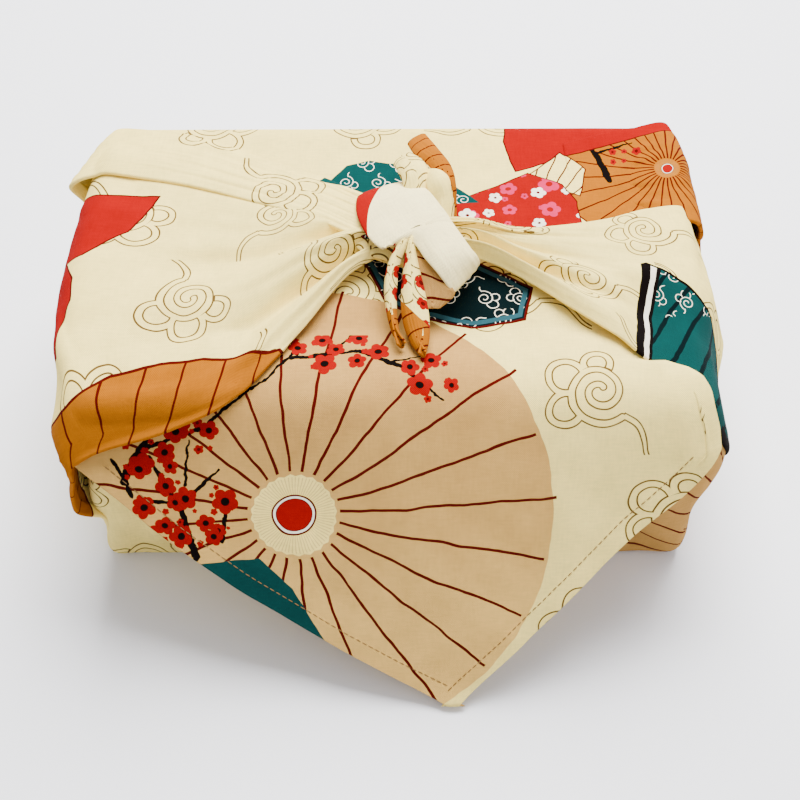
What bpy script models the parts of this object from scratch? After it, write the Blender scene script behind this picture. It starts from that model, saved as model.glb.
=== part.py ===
"""A square cotton wrapping cloth, tied round a box: one solid with its front flap, wings, knot and tails."""

import math
from collections import namedtuple

import bmesh
import bpy
import numpy as np
from mathutils import Vector

MM = 0.001

# Driving sizes of the wrapped bundle, over the cloth, in metres
BUNDLE_WIDTH = 0.210
BUNDLE_DEPTH = 0.132
BUNDLE_HEIGHT = 0.088
EDGE_RADIUS = 0.007
FOOT_RADIUS = 0.006
FOOT_TAPER = 0.001
SIDE_BULGE = 0.0020
TOP_CROWN = 0.0012
CORE_INSET = 0.030
FORM_CUTS = 11
CLOTH = 0.0022
EMBED = 0.0050

# The front flap: where its tip lies, and where its two hems meet the bundle's front edge
TIP_X = 0.023
TIP_DROP = 0.107
LEFT_HEM_X = -0.104
LEFT_HEM_DROP = 0.021
RIGHT_HEM_X = 0.1045
RIGHT_HEM_DROP = 0.007
TIP_WIDTH = 0.006

# The flap's side view, from the top of the bundle to the floor, in millimetres
FlapPoint = namedtuple("FlapPoint", "y z")
FLAP_PROFILE = (
    FlapPoint(-28.0, 87.0),
    FlapPoint(-42.0, 89.6),
    FlapPoint(-54.0, 90.0),
    FlapPoint(-63.0, 86.8),
    FlapPoint(-71.5, 78.4),
    FlapPoint(-84.0, 62.5),
    FlapPoint(-99.0, 42.5),
    FlapPoint(-113.0, 22.5),
    FlapPoint(-123.0, 8.0),
    FlapPoint(-128.5, 2.6),
)
FLAP_ROWS = 20
FLAP_COLUMNS = 14
FLAP_START = -0.030
FLAP_WAVES = 3.0
FLAP_WAVE_DEPTH = 0.0012
FLAP_FADE = 0.012
FLAP_REACH = 0.018

# A wing is a row of sections from the foot of the bundle's end to the knot, each from its back edge to its
# front edge, with the crown that it bulges between them, in millimetres
Section = namedtuple("Section", "back front crown")
LEFT_WING = (
    Section(back=(-98, 56, 3), front=(-98, -60, 4), crown=1.0),
    Section(back=(-107, 55, 34), front=(-106, -66, 27), crown=4.0),
    Section(back=(-107, 52, 66), front=(-105, -71.5, 52), crown=7.0),
    Section(back=(-107, 46, 86), front=(-103, -78, 72), crown=6.5),
    Section(back=(-90, 38, 91), front=(-92, -75, 79), crown=3.5),
    Section(back=(-66, 30, 93), front=(-72, -71, 84), crown=2.5),
    Section(back=(-46, 22, 95), front=(-50, -62, 90), crown=3.5),
    Section(back=(-29, 15, 98), front=(-31, -38, 92), crown=4.0),
    Section(back=(-14, 8, 101), front=(-16, -16, 96), crown=2.5),
    Section(back=(-2, 4, 103), front=(-2, -8, 101), crown=1.0),
)
LEFT_PLEAT = (
    Section(back=(-96, 60, 5), front=(-99, 42, 5), crown=0.5),
    Section(back=(-106, 61, 42), front=(-111, 38, 42), crown=1.0),
    Section(back=(-107, 61, 76), front=(-116, 33, 74), crown=1.0),
    Section(back=(-103, 62, 88), front=(-115, 31, 87.5), crown=1.0),
    Section(back=(-92, 62, 89), front=(-101, 33, 92), crown=1.5),
    Section(back=(-72, 57, 89), front=(-78, 27, 94), crown=1.5),
    Section(back=(-48, 46, 90), front=(-52, 18, 96), crown=1.5),
    Section(back=(-26, 34, 93), front=(-28, 8, 99), crown=1.5),
    Section(back=(-14, 22, 98), front=(-12, -3, 101.5), crown=1.0),
    Section(back=(-1, 12, 101), front=(0, -4, 103), crown=0.5),
)
RIGHT_WING = (
    Section(back=(97, 10, 3), front=(97, -58, 4), crown=1.0),
    Section(back=(107, 14, 36), front=(106, -65, 32), crown=3.0),
    Section(back=(109, 20, 70), front=(107.5, -68, 62), crown=4.5),
    Section(back=(107, 20, 90), front=(103, -68, 83), crown=4.0),
    Section(back=(91, 18, 92), front=(95, -56, 91.5), crown=2.5),
    Section(back=(74, 12, 93), front=(76, -43, 92.5), crown=2.5),
    Section(back=(57, 7, 95), front=(58, -29, 93.5), crown=3.0),
    Section(back=(41, 4, 97), front=(44, -18, 94.5), crown=3.0),
    Section(back=(27, 4, 101), front=(29, -11, 97.5), crown=2.5),
    Section(back=(10, 4, 102), front=(10, -9, 99), crown=1.0),
)
RIGHT_TUCK = (
    Section(back=(97, 58, 4), front=(97, 32, 4), crown=0.5),
    Section(back=(107, 61, 40), front=(107, 30, 40), crown=1.5),
    Section(back=(107, 65, 72), front=(110, 22, 74), crown=2.0),
    Section(back=(104, 66, 87), front=(108.5, 18, 89), crown=2.0),
    Section(back=(94, 64, 88.5), front=(98, 16, 91), crown=1.5),
    Section(back=(80, 58, 87), front=(82, 20, 87.5), crown=0.5),
    Section(back=(62, 50, 84), front=(64, 24, 84), crown=0.0),
)

WING_ROWS = 27
WING_COLUMNS = 14
PLEAT_COLUMNS = 8
WING_LIFT = 0.0030
PLEAT_LIFT = 0.0050
TUCK_LIFT = 0.0008
TUCK_END = -0.0022

# Folds that run out from the knot: their place across the wing at the knot and at their far end (0 is the
# back edge), how far out they reach (1 is the foot), their height or, below zero, depth, and their width
Fold = namedtuple("Fold", "at_knot at_end reach height width")
LEFT_FOLDS = (
    Fold(at_knot=0.30, at_end=0.42, reach=0.46, height=-2.6, width=0.075),
    Fold(at_knot=0.52, at_end=0.62, reach=0.50, height=2.2, width=0.085),
    Fold(at_knot=0.68, at_end=0.76, reach=0.42, height=-2.8, width=0.070),
    Fold(at_knot=0.93, at_end=0.90, reach=0.80, height=2.0, width=0.100),
)
RIGHT_FOLDS = (
    Fold(at_knot=0.38, at_end=0.48, reach=0.38, height=-2.4, width=0.080),
    Fold(at_knot=0.62, at_end=0.70, reach=0.44, height=-2.2, width=0.060),
    Fold(at_knot=0.82, at_end=0.92, reach=0.56, height=3.4, width=0.110),
    Fold(at_knot=0.12, at_end=0.05, reach=0.60, height=1.6, width=0.090),
)
NO_FOLDS = ()

# The knot's parts follow a few points, each with the width and thickness of the cloth there, in millimetres
Stop = namedtuple("Stop", "x y z width thickness")
KNOT_CORE = (
    Stop(-15, 3, 98, 10, 7),
    Stop(-7, 1, 102, 22, 12),
    Stop(6, -3, 102, 27, 16),
    Stop(18, -6, 100, 20, 13),
    Stop(29, -6, 97, 13, 8),
)
KNOT_BAND = (
    Stop(-7, 14, 98, 20, 5),
    Stop(-5, 11, 107, 25, 5),
    Stop(3, -1, 112, 26, 5),
    Stop(11, -13, 112, 25, 5),
    Stop(18.5, -21, 108, 22, 5),
    Stop(24, -25.5, 101.5, 17, 5),
    Stop(26, -26.5, 95, 13, 5),
)
FRONT_TAIL_LEFT = (
    Stop(1, -6, 104, 9, 7),
    Stop(0, -15, 105, 12, 8),
    Stop(-1, -26, 98.5, 12, 8),
    Stop(0.5, -38, 93.5, 10, 6),
    Stop(6, -49, 91.5, 5, 4),
)
FRONT_TAIL_RIGHT = (
    Stop(5, -6, 104, 9, 7),
    Stop(6, -15, 104, 11, 8),
    Stop(8, -25, 98, 11, 7),
    Stop(9.5, -36, 93.5, 10, 6),
    Stop(8.5, -47, 91.5, 4, 4),
)
UNDER_LAYER = (
    Stop(12, -12, 101, 16, 5),
    Stop(13, -21, 99, 15, 4),
    Stop(13, -31, 95, 12, 4),
)
BACK_TAIL = (
    Stop(8, 3, 102, 12, 8),
    Stop(7, 12, 109, 14, 8),
    Stop(7, 22, 108, 14, 7),
    Stop(8, 29, 106, 12, 6),
)
BACK_TAIL_FOLD = (
    Stop(6, 34, 107, 6, 4),
    Stop(11, 30, 110, 12, 5),
    Stop(17, 23, 110, 13, 5),
    Stop(20, 14, 106, 11, 6),
    Stop(21, 8, 98, 7, 5),
)
BACK_ROLL = (
    Stop(14, 1, 101, 10, 8),
    Stop(15, 9, 105, 13, 10),
    Stop(16, 15, 105, 12, 9),
)
SWEEP_SIDES = 12
SWEEP_STEPS = 4

CLOTH_COLOUR = (0.83, 0.78, 0.62, 1.0)
CLOTH_ROUGHNESS = 0.9


def smooth(low, high, value):
    """A smooth step from 0 at low to 1 at high."""
    share = np.clip((np.asarray(value, float) - low) / (high - low), 0.0, 1.0)
    return share * share * (3.0 - 2.0 * share)


def spline(points, at):
    """Points on a smooth curve through the given ones, at shares from 0 to 1 of their row."""
    points = np.asarray(points, float)
    place = np.clip(np.asarray(at, float), 0.0, 1.0) * (len(points) - 1)
    index = np.minimum(place.astype(int), len(points) - 2)
    share = (place - index)[:, None]
    padded = np.concatenate([[2 * points[0] - points[1]], points, [2 * points[-1] - points[-2]]])
    a, b, c, d = (padded[index + k] for k in range(4))
    return 0.5 * (
        2 * b
        + (c - a) * share
        + (2 * a - 5 * b + 4 * c - d) * share**2
        + (3 * b - a - 3 * c + d) * share**3
    )


def box_distance(points):
    """How far points lie outside the wrapped box, whose edges are rounded and whose foot draws in."""
    low_share = 1.0 - smooth(0.0, BUNDLE_HEIGHT, points[:, 2])
    middle = np.maximum(0.0, 1.0 - (2.0 * points[:, 2] / BUNDLE_HEIGHT - 1.0) ** 2)
    half = np.stack(
        [
            BUNDLE_WIDTH / 2 - FOOT_TAPER * low_share + SIDE_BULGE * middle,
            BUNDLE_DEPTH / 2 - FOOT_TAPER * low_share + SIDE_BULGE * middle,
            np.full(len(points), BUNDLE_HEIGHT / 2),
        ],
        axis=1,
    )
    centred = np.abs(points - [0.0, 0.0, BUNDLE_HEIGHT / 2])
    radius = EDGE_RADIUS + (FOOT_RADIUS - EDGE_RADIUS) * low_share
    outside = centred - half + radius[:, None]
    beyond = np.linalg.norm(np.maximum(outside, 0.0), axis=1)
    return beyond + np.minimum(outside.max(axis=1), 0.0) - radius


def core_of(points):
    """The nearest points of the box's core, and the directions from there out to the points."""
    half = np.array([BUNDLE_WIDTH, BUNDLE_DEPTH, BUNDLE_HEIGHT]) / 2 - CORE_INSET
    centre = np.array([0.0, 0.0, BUNDLE_HEIGHT / 2])
    core = centre + np.clip(points - centre, -half, half)
    away = points - core
    reach = np.maximum(np.linalg.norm(away, axis=1), 1e-6)
    return core, away / reach[:, None], reach


def on_box(points, lift):
    """The points moved out from the core to lie that far above the wrapped box, and how far out they then are."""
    core, out, _ = core_of(points)
    low = np.zeros(len(points))
    high = np.full(len(points), 0.2)
    for _ in range(30):
        middle = (low + high) / 2
        inside = box_distance(core + out * middle[:, None]) < lift
        low = np.where(inside, middle, low)
        high = np.where(inside, high, middle)
    return core + out * high[:, None], high


def over_box(points, lift):
    """The points as they are, but no nearer than lift to the wrapped box."""
    core, out, reach = core_of(points)
    _, least = on_box(points, lift)
    return core + out * np.maximum(reach, least)[:, None]


def new_object(name, vertices, faces):
    """A closed mesh object of the cloth's material."""
    mesh = bpy.data.meshes.new(name)
    mesh.from_pydata([tuple(v) for v in vertices], [], faces)
    shape = bmesh.new()
    shape.from_mesh(mesh)
    bmesh.ops.remove_doubles(shape, verts=shape.verts, dist=1e-6)
    bmesh.ops.recalc_face_normals(shape, faces=shape.faces)
    shape.to_mesh(mesh)
    shape.free()
    mesh.shade_smooth()
    mesh.materials.append(cloth_material())
    made = bpy.data.objects.new(name, mesh)
    bpy.context.scene.collection.objects.link(made)
    return made


def cloth_material():
    """Unbleached printed cotton."""
    made = bpy.data.materials.get("cotton")
    if made is None:
        made = bpy.data.materials.new("cotton")
        made.use_nodes = True
        shader = made.node_tree.nodes["Principled BSDF"]
        shader.inputs["Base Color"].default_value = CLOTH_COLOUR
        shader.inputs["Roughness"].default_value = CLOTH_ROUGHNESS
        shader.inputs["Metallic"].default_value = 0.0
    return made


def grid_faces(rows, columns, first, flip):
    """Quads of a grid of points that starts at index first."""
    faces = []
    for r in range(rows - 1):
        for c in range(columns - 1):
            a = first + r * columns + c
            quad = (a, a + 1, a + columns + 1, a + columns)
            faces.append(quad[::-1] if flip else quad)
    return faces


def rim_faces(rows, columns, second):
    """Quads between the rims of two grids of the same size, the second starting at index second."""
    top = list(range(columns))
    right = [r * columns + columns - 1 for r in range(1, rows)]
    bottom = [(rows - 1) * columns + c for c in range(columns - 2, -1, -1)]
    left = [r * columns for r in range(rows - 2, 0, -1)]
    loop = top + right + bottom + left
    return [
        (a, b, b + second, a + second)
        for a, b in zip(loop, loop[1:] + loop[:1])
    ]


def slab(name, outer, inner):
    """A closed solid between two grids of points."""
    rows, columns, _ = outer.shape
    count = rows * columns
    vertices = np.concatenate([outer.reshape(-1, 3), inner.reshape(-1, 3)])
    faces = grid_faces(rows, columns, 0, False)
    faces += grid_faces(rows, columns, count, True)
    faces += rim_faces(rows, columns, count)
    return new_object(name, vertices, faces)


def make_bundle():
    """The wrapped box itself, with its crowned top, soft edges and drawn-in foot."""
    mesh = bpy.data.meshes.new("bundle")
    shape = bmesh.new()
    bmesh.ops.create_cube(shape, size=1.0)
    bmesh.ops.subdivide_edges(shape, edges=shape.edges[:], cuts=FORM_CUTS, use_grid_fill=True)
    points = np.array([v.co[:] for v in shape.verts])
    share = points * 2.0
    eased = np.sin(share * math.pi / 2) * 0.5 + share * 0.5
    size = np.array([BUNDLE_WIDTH, BUNDLE_DEPTH, BUNDLE_HEIGHT])
    rough = eased * size / 2 + [0.0, 0.0, BUNDLE_HEIGHT / 2]
    placed, _ = on_box(rough, 0.0)
    crown = smooth(0.6, 0.0, np.abs(share[:, 0])) * smooth(1.0, 0.0, np.abs(share[:, 1]))
    placed[:, 2] += np.where(share[:, 2] > 0.99, TOP_CROWN * crown, 0.0)
    placed[:, 2] = np.maximum(placed[:, 2], 0.0)
    for vertex, place in zip(shape.verts, placed):
        vertex.co = Vector(place)
    shape.to_mesh(mesh)
    shape.free()
    mesh.shade_smooth()
    mesh.materials.append(cloth_material())
    made = bpy.data.objects.new("furoshiki", mesh)
    bpy.context.scene.collection.objects.link(made)
    return made


def flap_profile(drop):
    """(y, z) of the flap's outer face at a distance along it below the bundle's front edge."""
    fine = spline(np.array(FLAP_PROFILE) * MM, np.linspace(0, 1, 400))
    along = np.concatenate([[0], np.cumsum(np.linalg.norm(np.diff(fine, axis=0), axis=1))])
    along = along - along[-1] + TIP_DROP
    return np.stack([np.interp(drop, along, fine[:, k]) for k in range(2)], axis=1)


def flap_out(side):
    """The direction out of the flap, in (y, z), at each point of its side view."""
    step = np.gradient(side, axis=0)
    step /= np.linalg.norm(step, axis=1)[:, None]
    return np.stack([step[:, 1], -step[:, 0]], axis=1)


def hem_x(drop, hem_at, hem_drop, side):
    """Where a hem runs at that distance down the flap, held to the bundle's side above it."""
    share = (drop - hem_drop) / (TIP_DROP - hem_drop)
    tip = TIP_X + side * TIP_WIDTH / 2
    return hem_at + (tip - hem_at) * np.clip(share, 0.0, 1.0)


def make_flap():
    """The corner of the cloth that comes over the top and hangs down the front to the floor."""
    drops = np.linspace(FLAP_START, TIP_DROP, FLAP_ROWS)
    across = np.linspace(0, 1, FLAP_COLUMNS)
    left = hem_x(drops, LEFT_HEM_X, LEFT_HEM_DROP, -1)
    right = hem_x(drops, RIGHT_HEM_X, RIGHT_HEM_DROP, 1)
    x = left[:, None] + (right - left)[:, None] * across[None, :]
    side = flap_profile(drops)
    out = flap_out(side)
    wave = np.sin(x / BUNDLE_WIDTH * math.pi * FLAP_WAVES + 0.6) * FLAP_WAVE_DEPTH
    swell = smooth(0.0, 0.04, drops)[:, None] * smooth(TIP_DROP, TIP_DROP - 0.03, drops)[:, None]
    y = side[:, 0, None] + out[:, 0, None] * wave * swell
    z = side[:, 1, None] + out[:, 1, None] * wave * swell
    outer = np.stack([x, y, z], axis=2)
    inner = np.stack([x, y - out[:, 0, None] * CLOTH, z - out[:, 1, None] * CLOTH], axis=2)
    inner[:, :, 2] = np.maximum(inner[:, :, 2], 0.0)
    return slab("flap", outer, inner)


def over_flap(points, lift):
    """The points as they are, but no nearer than lift to the flap's outer face where it lies under them."""
    drops = np.linspace(FLAP_START, TIP_DROP, 160)
    side = flap_profile(drops)
    out = flap_out(side)
    away = points[:, None, 1:] - side[None]
    nearest = np.linalg.norm(away, axis=2).argmin(axis=1)
    height = (away[np.arange(len(points)), nearest] * out[nearest]).sum(axis=1)
    left = hem_x(drops[nearest], LEFT_HEM_X, LEFT_HEM_DROP, -1)
    right = hem_x(drops[nearest], RIGHT_HEM_X, RIGHT_HEM_DROP, 1)
    beyond = np.maximum(left - points[:, 0], points[:, 0] - right)
    share = smooth(FLAP_FADE, 0.0, beyond) * smooth(-FLAP_REACH, -FLAP_REACH / 2, height)
    push = np.maximum(lift - height, 0.0) * share
    moved = points.copy()
    moved[:, 1:] += out[nearest] * push[:, None]
    return moved


def fold_height(folds, across, along):
    """How far the folds raise the cloth at a place across the wing and along it, from foot 0 to knot 1."""
    out = 1.0 - along
    total = np.zeros_like(across)
    for fold in folds:
        share = np.clip(out / fold.reach, 0.0, 1.0)
        at = fold.at_knot + (fold.at_end - fold.at_knot) * share
        total += fold.height * MM * np.exp(-(((across - at) / fold.width) ** 2)) * (1.0 - share) ** 0.8
    return total


def make_wing(name, sections, folds, columns, lift, end_lift):
    """A side corner of the cloth, pulled up the bundle's end and over its top to the knot."""
    along = np.linspace(0, 1, WING_ROWS)
    lifts = np.repeat(lift + (end_lift - lift) * along, columns)
    back = spline([[c * MM for c in s.back] for s in sections], along)
    front = spline([[c * MM for c in s.front] for s in sections], along)
    crown = spline([[s.crown * MM] for s in sections], along)
    across = np.linspace(0, 1, columns)
    straight = back[:, None] + (front - back)[:, None] * across[None, :, None]
    flat = straight.reshape(-1, 3)
    shares = np.tile(across, WING_ROWS)
    arch = np.repeat(crown[:, 0], columns) * 4 * shares * (1 - shares)
    folded = fold_height(folds, shares, np.repeat(along, columns))
    _, out, _ = core_of(flat)
    outer = over_box(flat, lifts) + out * (arch + folded)[:, None]
    outer = over_flap(outer, lifts)
    inner, _ = on_box(outer, -EMBED)
    outer[:, 2] = np.maximum(outer[:, 2], 0.0008)
    inner[:, 2] = np.maximum(inner[:, 2], 0.0016)
    size = (WING_ROWS, columns, 3)
    return slab(name, outer.reshape(size), inner.reshape(size))


def make_strip(name, stops):
    """A thick, flattened roll of cloth along a few stops, with round ends."""
    steps = SWEEP_STEPS * (len(stops) - 1) + 1
    at = np.linspace(0, 1, steps)
    data = spline(np.array(stops) * MM, at)
    path, half_width, half_thick = data[:, :3], data[:, 3] / 2, data[:, 4] / 2
    ahead = np.gradient(path, axis=0)
    ahead /= np.linalg.norm(ahead, axis=1)[:, None]
    up = np.array([0.0, 0.0, 1.0])
    across = np.cross(ahead, up)
    across[:, 2] = 0.0
    across /= np.linalg.norm(across, axis=1)[:, None]
    normal = np.cross(across, ahead)
    angle = np.linspace(0, 2 * math.pi, SWEEP_SIDES, endpoint=False)
    ring = (
        across[:, None] * (half_width[:, None, None] * np.cos(angle)[None, :, None])
        + normal[:, None] * (half_thick[:, None, None] * np.sin(angle)[None, :, None])
    )
    vertices = list((path[:, None] + ring).reshape(-1, 3))
    faces = []
    for r in range(steps - 1):
        for c in range(SWEEP_SIDES):
            a, b = r * SWEEP_SIDES + c, r * SWEEP_SIDES + (c + 1) % SWEEP_SIDES
            faces.append((a, b, b + SWEEP_SIDES, a + SWEEP_SIDES))
    for row, sign in ((0, -1), (steps - 1, 1)):
        tip = len(vertices)
        vertices.append(path[row] + sign * ahead[row] * half_thick[row])
        for c in range(SWEEP_SIDES):
            faces.append((row * SWEEP_SIDES + c, row * SWEEP_SIDES + (c + 1) % SWEEP_SIDES, tip))
    return new_object(name, vertices, faces)


def join_to(whole, piece):
    """Unites a piece with the whole, which stays one body."""
    piece.hide_render = True
    piece.display_type = "WIRE"
    union = whole.modifiers.new(piece.name, "BOOLEAN")
    union.operation = "UNION"
    union.solver = "EXACT"
    union.object = piece


def main():
    """Builds the wrap as one solid that stands on its base, with the base's middle at the origin."""
    for old in list(bpy.data.objects):
        bpy.data.objects.remove(old)
    whole = make_bundle()
    join_to(whole, make_flap())
    for name, sections, folds, columns, lift, end_lift in (
        ("left_wing", LEFT_WING, LEFT_FOLDS, WING_COLUMNS, WING_LIFT, WING_LIFT),
        ("left_pleat", LEFT_PLEAT, NO_FOLDS, PLEAT_COLUMNS, PLEAT_LIFT, PLEAT_LIFT),
        ("right_wing", RIGHT_WING, RIGHT_FOLDS, WING_COLUMNS, WING_LIFT, WING_LIFT),
        ("right_tuck", RIGHT_TUCK, NO_FOLDS, PLEAT_COLUMNS, TUCK_LIFT, TUCK_END),
    ):
        join_to(whole, make_wing(name, sections, folds, columns, lift, end_lift))
    for name, stops in (
        ("knot_core", KNOT_CORE),
        ("knot_band", KNOT_BAND),
        ("front_tail_left", FRONT_TAIL_LEFT),
        ("front_tail_right", FRONT_TAIL_RIGHT),
        ("under_layer", UNDER_LAYER),
        ("back_tail", BACK_TAIL),
        ("back_tail_fold", BACK_TAIL_FOLD),
        ("back_roll", BACK_ROLL),
    ):
        join_to(whole, make_strip(name, stops))


main()
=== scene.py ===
"""The looks of a furoshiki wrap: one square of printed cotton tied round a box.

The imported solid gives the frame. Thin sheets of cotton lie where it folds the cloth: one runs from the back
wall over the top and down the front as a flap, two wings are pulled up the ends to the knot, and a band and
four loose ends make the knot. Sizes are metres, and the print is drawn in millimetres of cloth.
"""

from __future__ import annotations

import logging
import math
from dataclasses import dataclass, field
from enum import Enum
from functools import reduce
from typing import Callable, Sequence

import bpy
import numpy as np
from mathutils import Matrix, Vector

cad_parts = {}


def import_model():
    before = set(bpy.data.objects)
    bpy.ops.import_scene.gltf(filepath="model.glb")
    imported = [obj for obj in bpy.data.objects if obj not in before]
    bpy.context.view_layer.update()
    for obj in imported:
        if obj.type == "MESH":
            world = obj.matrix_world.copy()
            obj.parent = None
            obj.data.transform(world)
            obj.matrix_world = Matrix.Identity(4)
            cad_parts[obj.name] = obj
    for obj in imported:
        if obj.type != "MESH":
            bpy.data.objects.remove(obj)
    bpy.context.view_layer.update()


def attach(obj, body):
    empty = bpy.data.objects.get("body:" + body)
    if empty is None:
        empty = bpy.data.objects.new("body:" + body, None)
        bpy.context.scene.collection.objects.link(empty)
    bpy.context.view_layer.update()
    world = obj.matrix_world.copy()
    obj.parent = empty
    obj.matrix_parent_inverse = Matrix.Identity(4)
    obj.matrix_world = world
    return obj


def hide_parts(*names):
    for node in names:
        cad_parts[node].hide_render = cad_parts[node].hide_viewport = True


LOG = logging.getLogger("furoshiki")
MM = 0.001
NODE = "furoshiki"
BODY = "root"
PRINT_MAP = "print"
EDGE_MAP = "edge"
FULL_TURN = 2 * math.pi
FAR = 99.0

Array = np.ndarray
Pair = tuple[float, float]
Triple = tuple[float, float, float]
Colour = tuple[float, float, float, float]
Rows = Sequence[Sequence[float]]


class Side(Enum):
    """The two ends of the bundle, as the camera sees them."""

    LEFT = -1
    RIGHT = 1


class Held(Enum):
    """How a sheet of the cloth is held."""

    DRAPED = "draped"
    FOLDED = "folded"
    STRETCHED = "stretched"
    GATHERED = "gathered"


def smooth(low: float, high: float, value: Array) -> Array:
    """A smooth step from 0 at low to 1 at high."""
    share = np.clip((np.asarray(value, float) - low) / (high - low), 0.0, 1.0)
    return share * share * (3.0 - 2.0 * share)


def spline(points: Rows, at: Array) -> Array:
    """Reads a smooth curve through a row of points.

    Args:
        points: The points, each with any number of values.
        at: Shares of the row, from 0 to 1.

    Returns:
        One row of values for each share.
    """
    points = np.asarray(points, float)
    place = np.clip(np.asarray(at, float), 0.0, 1.0) * (len(points) - 1)
    index = np.minimum(place.astype(int), len(points) - 2)
    share = (place - index)[:, None]
    padded = np.concatenate([[2 * points[0] - points[1]], points, [2 * points[-1] - points[-2]]])
    a, b, c, d = (padded[index + k] for k in range(4))
    return 0.5 * (
        2 * b
        + (c - a) * share
        + (2 * a - 5 * b + 4 * c - d) * share**2
        + (3 * b - a - 3 * c + d) * share**3
    )


def unit(vectors: Array) -> Array:
    """The vectors, one to a row of the last axis, at length 1."""
    return vectors / np.maximum(np.linalg.norm(vectors, axis=-1, keepdims=True), 1e-12)


def facing(grid: Array, heart: Array) -> Array:
    """The unit normals of a grid of points, on the side away from a point at its heart."""
    normal = unit(np.cross(np.gradient(grid, axis=1), np.gradient(grid, axis=0)))
    return normal if (normal * (grid - heart)).sum() > 0 else -normal


def ripple(x: Array, y: Array, seed: int, waves: int = 7) -> Array:
    """A soft, uneven relief between about -1 and 1, the same each run.

    Args:
        x: One place coordinate, in units of the relief's own size.
        y: The other.
        seed: Picks the relief.
        waves: How many waves are added.

    Returns:
        The height at each place.
    """
    random = np.random.default_rng(seed)
    total = np.zeros(np.broadcast(x, y).shape)
    for _ in range(waves):
        turn = random.uniform(0, FULL_TURN)
        pace = random.uniform(0.6, 1.7)
        phase = random.uniform(0, FULL_TURN)
        total = total + np.sin((x * math.cos(turn) + y * math.sin(turn)) * pace * FULL_TURN + phase)
    return total / math.sqrt(waves * 2.0)


def run_length(line: Array) -> Array:
    """How far along a line each of its points lies."""
    return np.concatenate([[0], np.cumsum(np.linalg.norm(np.diff(line, axis=0), axis=1))])


def read_back(items: bpy.types.bpy_prop_collection, key: str, per: int = 1, kind: type = float) -> Array:
    """One attribute of all of a mesh's items, with per values for each."""
    values = np.zeros(len(items) * per, kind)
    items.foreach_get(key, values)
    return values.reshape(-1, per) if per > 1 else values


def place_points(mesh: bpy.types.Mesh, points: Array) -> None:
    """Moves a mesh's vertices to those points."""
    mesh.vertices.foreach_set("co", points.astype(np.float32).ravel())


def add_object(operator: Callable, name: str, **settings: object) -> bpy.types.Object:
    """Adds a primitive, a light or a camera by its operator, and names it."""
    bpy.ops.object.select_all(action="DESELECT")
    operator(**settings)
    made = bpy.context.object
    made.name = made.data.name = name
    return made


@dataclass
class WrappedBox:
    """The box that the cloth wraps, with rounded edges, as the solid has it."""

    width: float = 0.210
    depth: float = 0.132
    height: float = 0.088
    edge_radius: float = 0.007
    foot_radius: float = 0.006
    foot_taper: float = 0.001
    side_bulge: float = 0.0020
    top_crown: float = 0.0012
    core_inset: float = 0.030

    def distance(self, points: Array) -> Array:
        """How far points lie outside the wrapped box."""
        low_share = 1.0 - smooth(0.0, self.height, points[:, 2])
        middle = np.maximum(0.0, 1.0 - (2.0 * points[:, 2] / self.height - 1.0) ** 2)
        swell = self.side_bulge * middle - self.foot_taper * low_share
        level = np.full(len(points), self.height / 2)
        half = np.stack([self.width / 2 + swell, self.depth / 2 + swell, level], axis=1)
        radius = self.edge_radius + (self.foot_radius - self.edge_radius) * low_share
        outside = np.abs(points - [0.0, 0.0, self.height / 2]) - half + radius[:, None]
        beyond = np.linalg.norm(np.maximum(outside, 0.0), axis=1)
        return beyond + np.minimum(outside.max(axis=1), 0.0) - radius

    def core(self, points: Array) -> tuple[Array, Array, Array]:
        """The core's nearest points, the directions out from there, and how far out the points are."""
        half = np.array([self.width, self.depth, self.height]) / 2 - self.core_inset
        centre = np.array([0.0, 0.0, self.height / 2])
        core = centre + np.clip(points - centre, -half, half)
        away = points - core
        reach = np.maximum(np.linalg.norm(away, axis=1), 1e-6)
        return core, away / reach[:, None], reach

    def seat(self, points: Array, lift: Array | float) -> tuple[Array, Array]:
        """The points moved along their way out until they lie that far above the box, and their reach."""
        core, out, _ = self.core(points)
        low = np.zeros(len(points))
        high = np.full(len(points), 0.2)
        for _ in range(30):
            middle = (low + high) / 2
            inside = self.distance(core + out * middle[:, None]) < lift
            low = np.where(inside, middle, low)
            high = np.where(inside, high, middle)
        return core + out * high[:, None], high

    def over(self, points: Array, lift: Array | float) -> Array:
        """The points as they are, but no nearer than lift to the box."""
        core, out, reach = self.core(points)
        _, least = self.seat(points, lift)
        return core + out * np.maximum(reach, least)[:, None]


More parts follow.
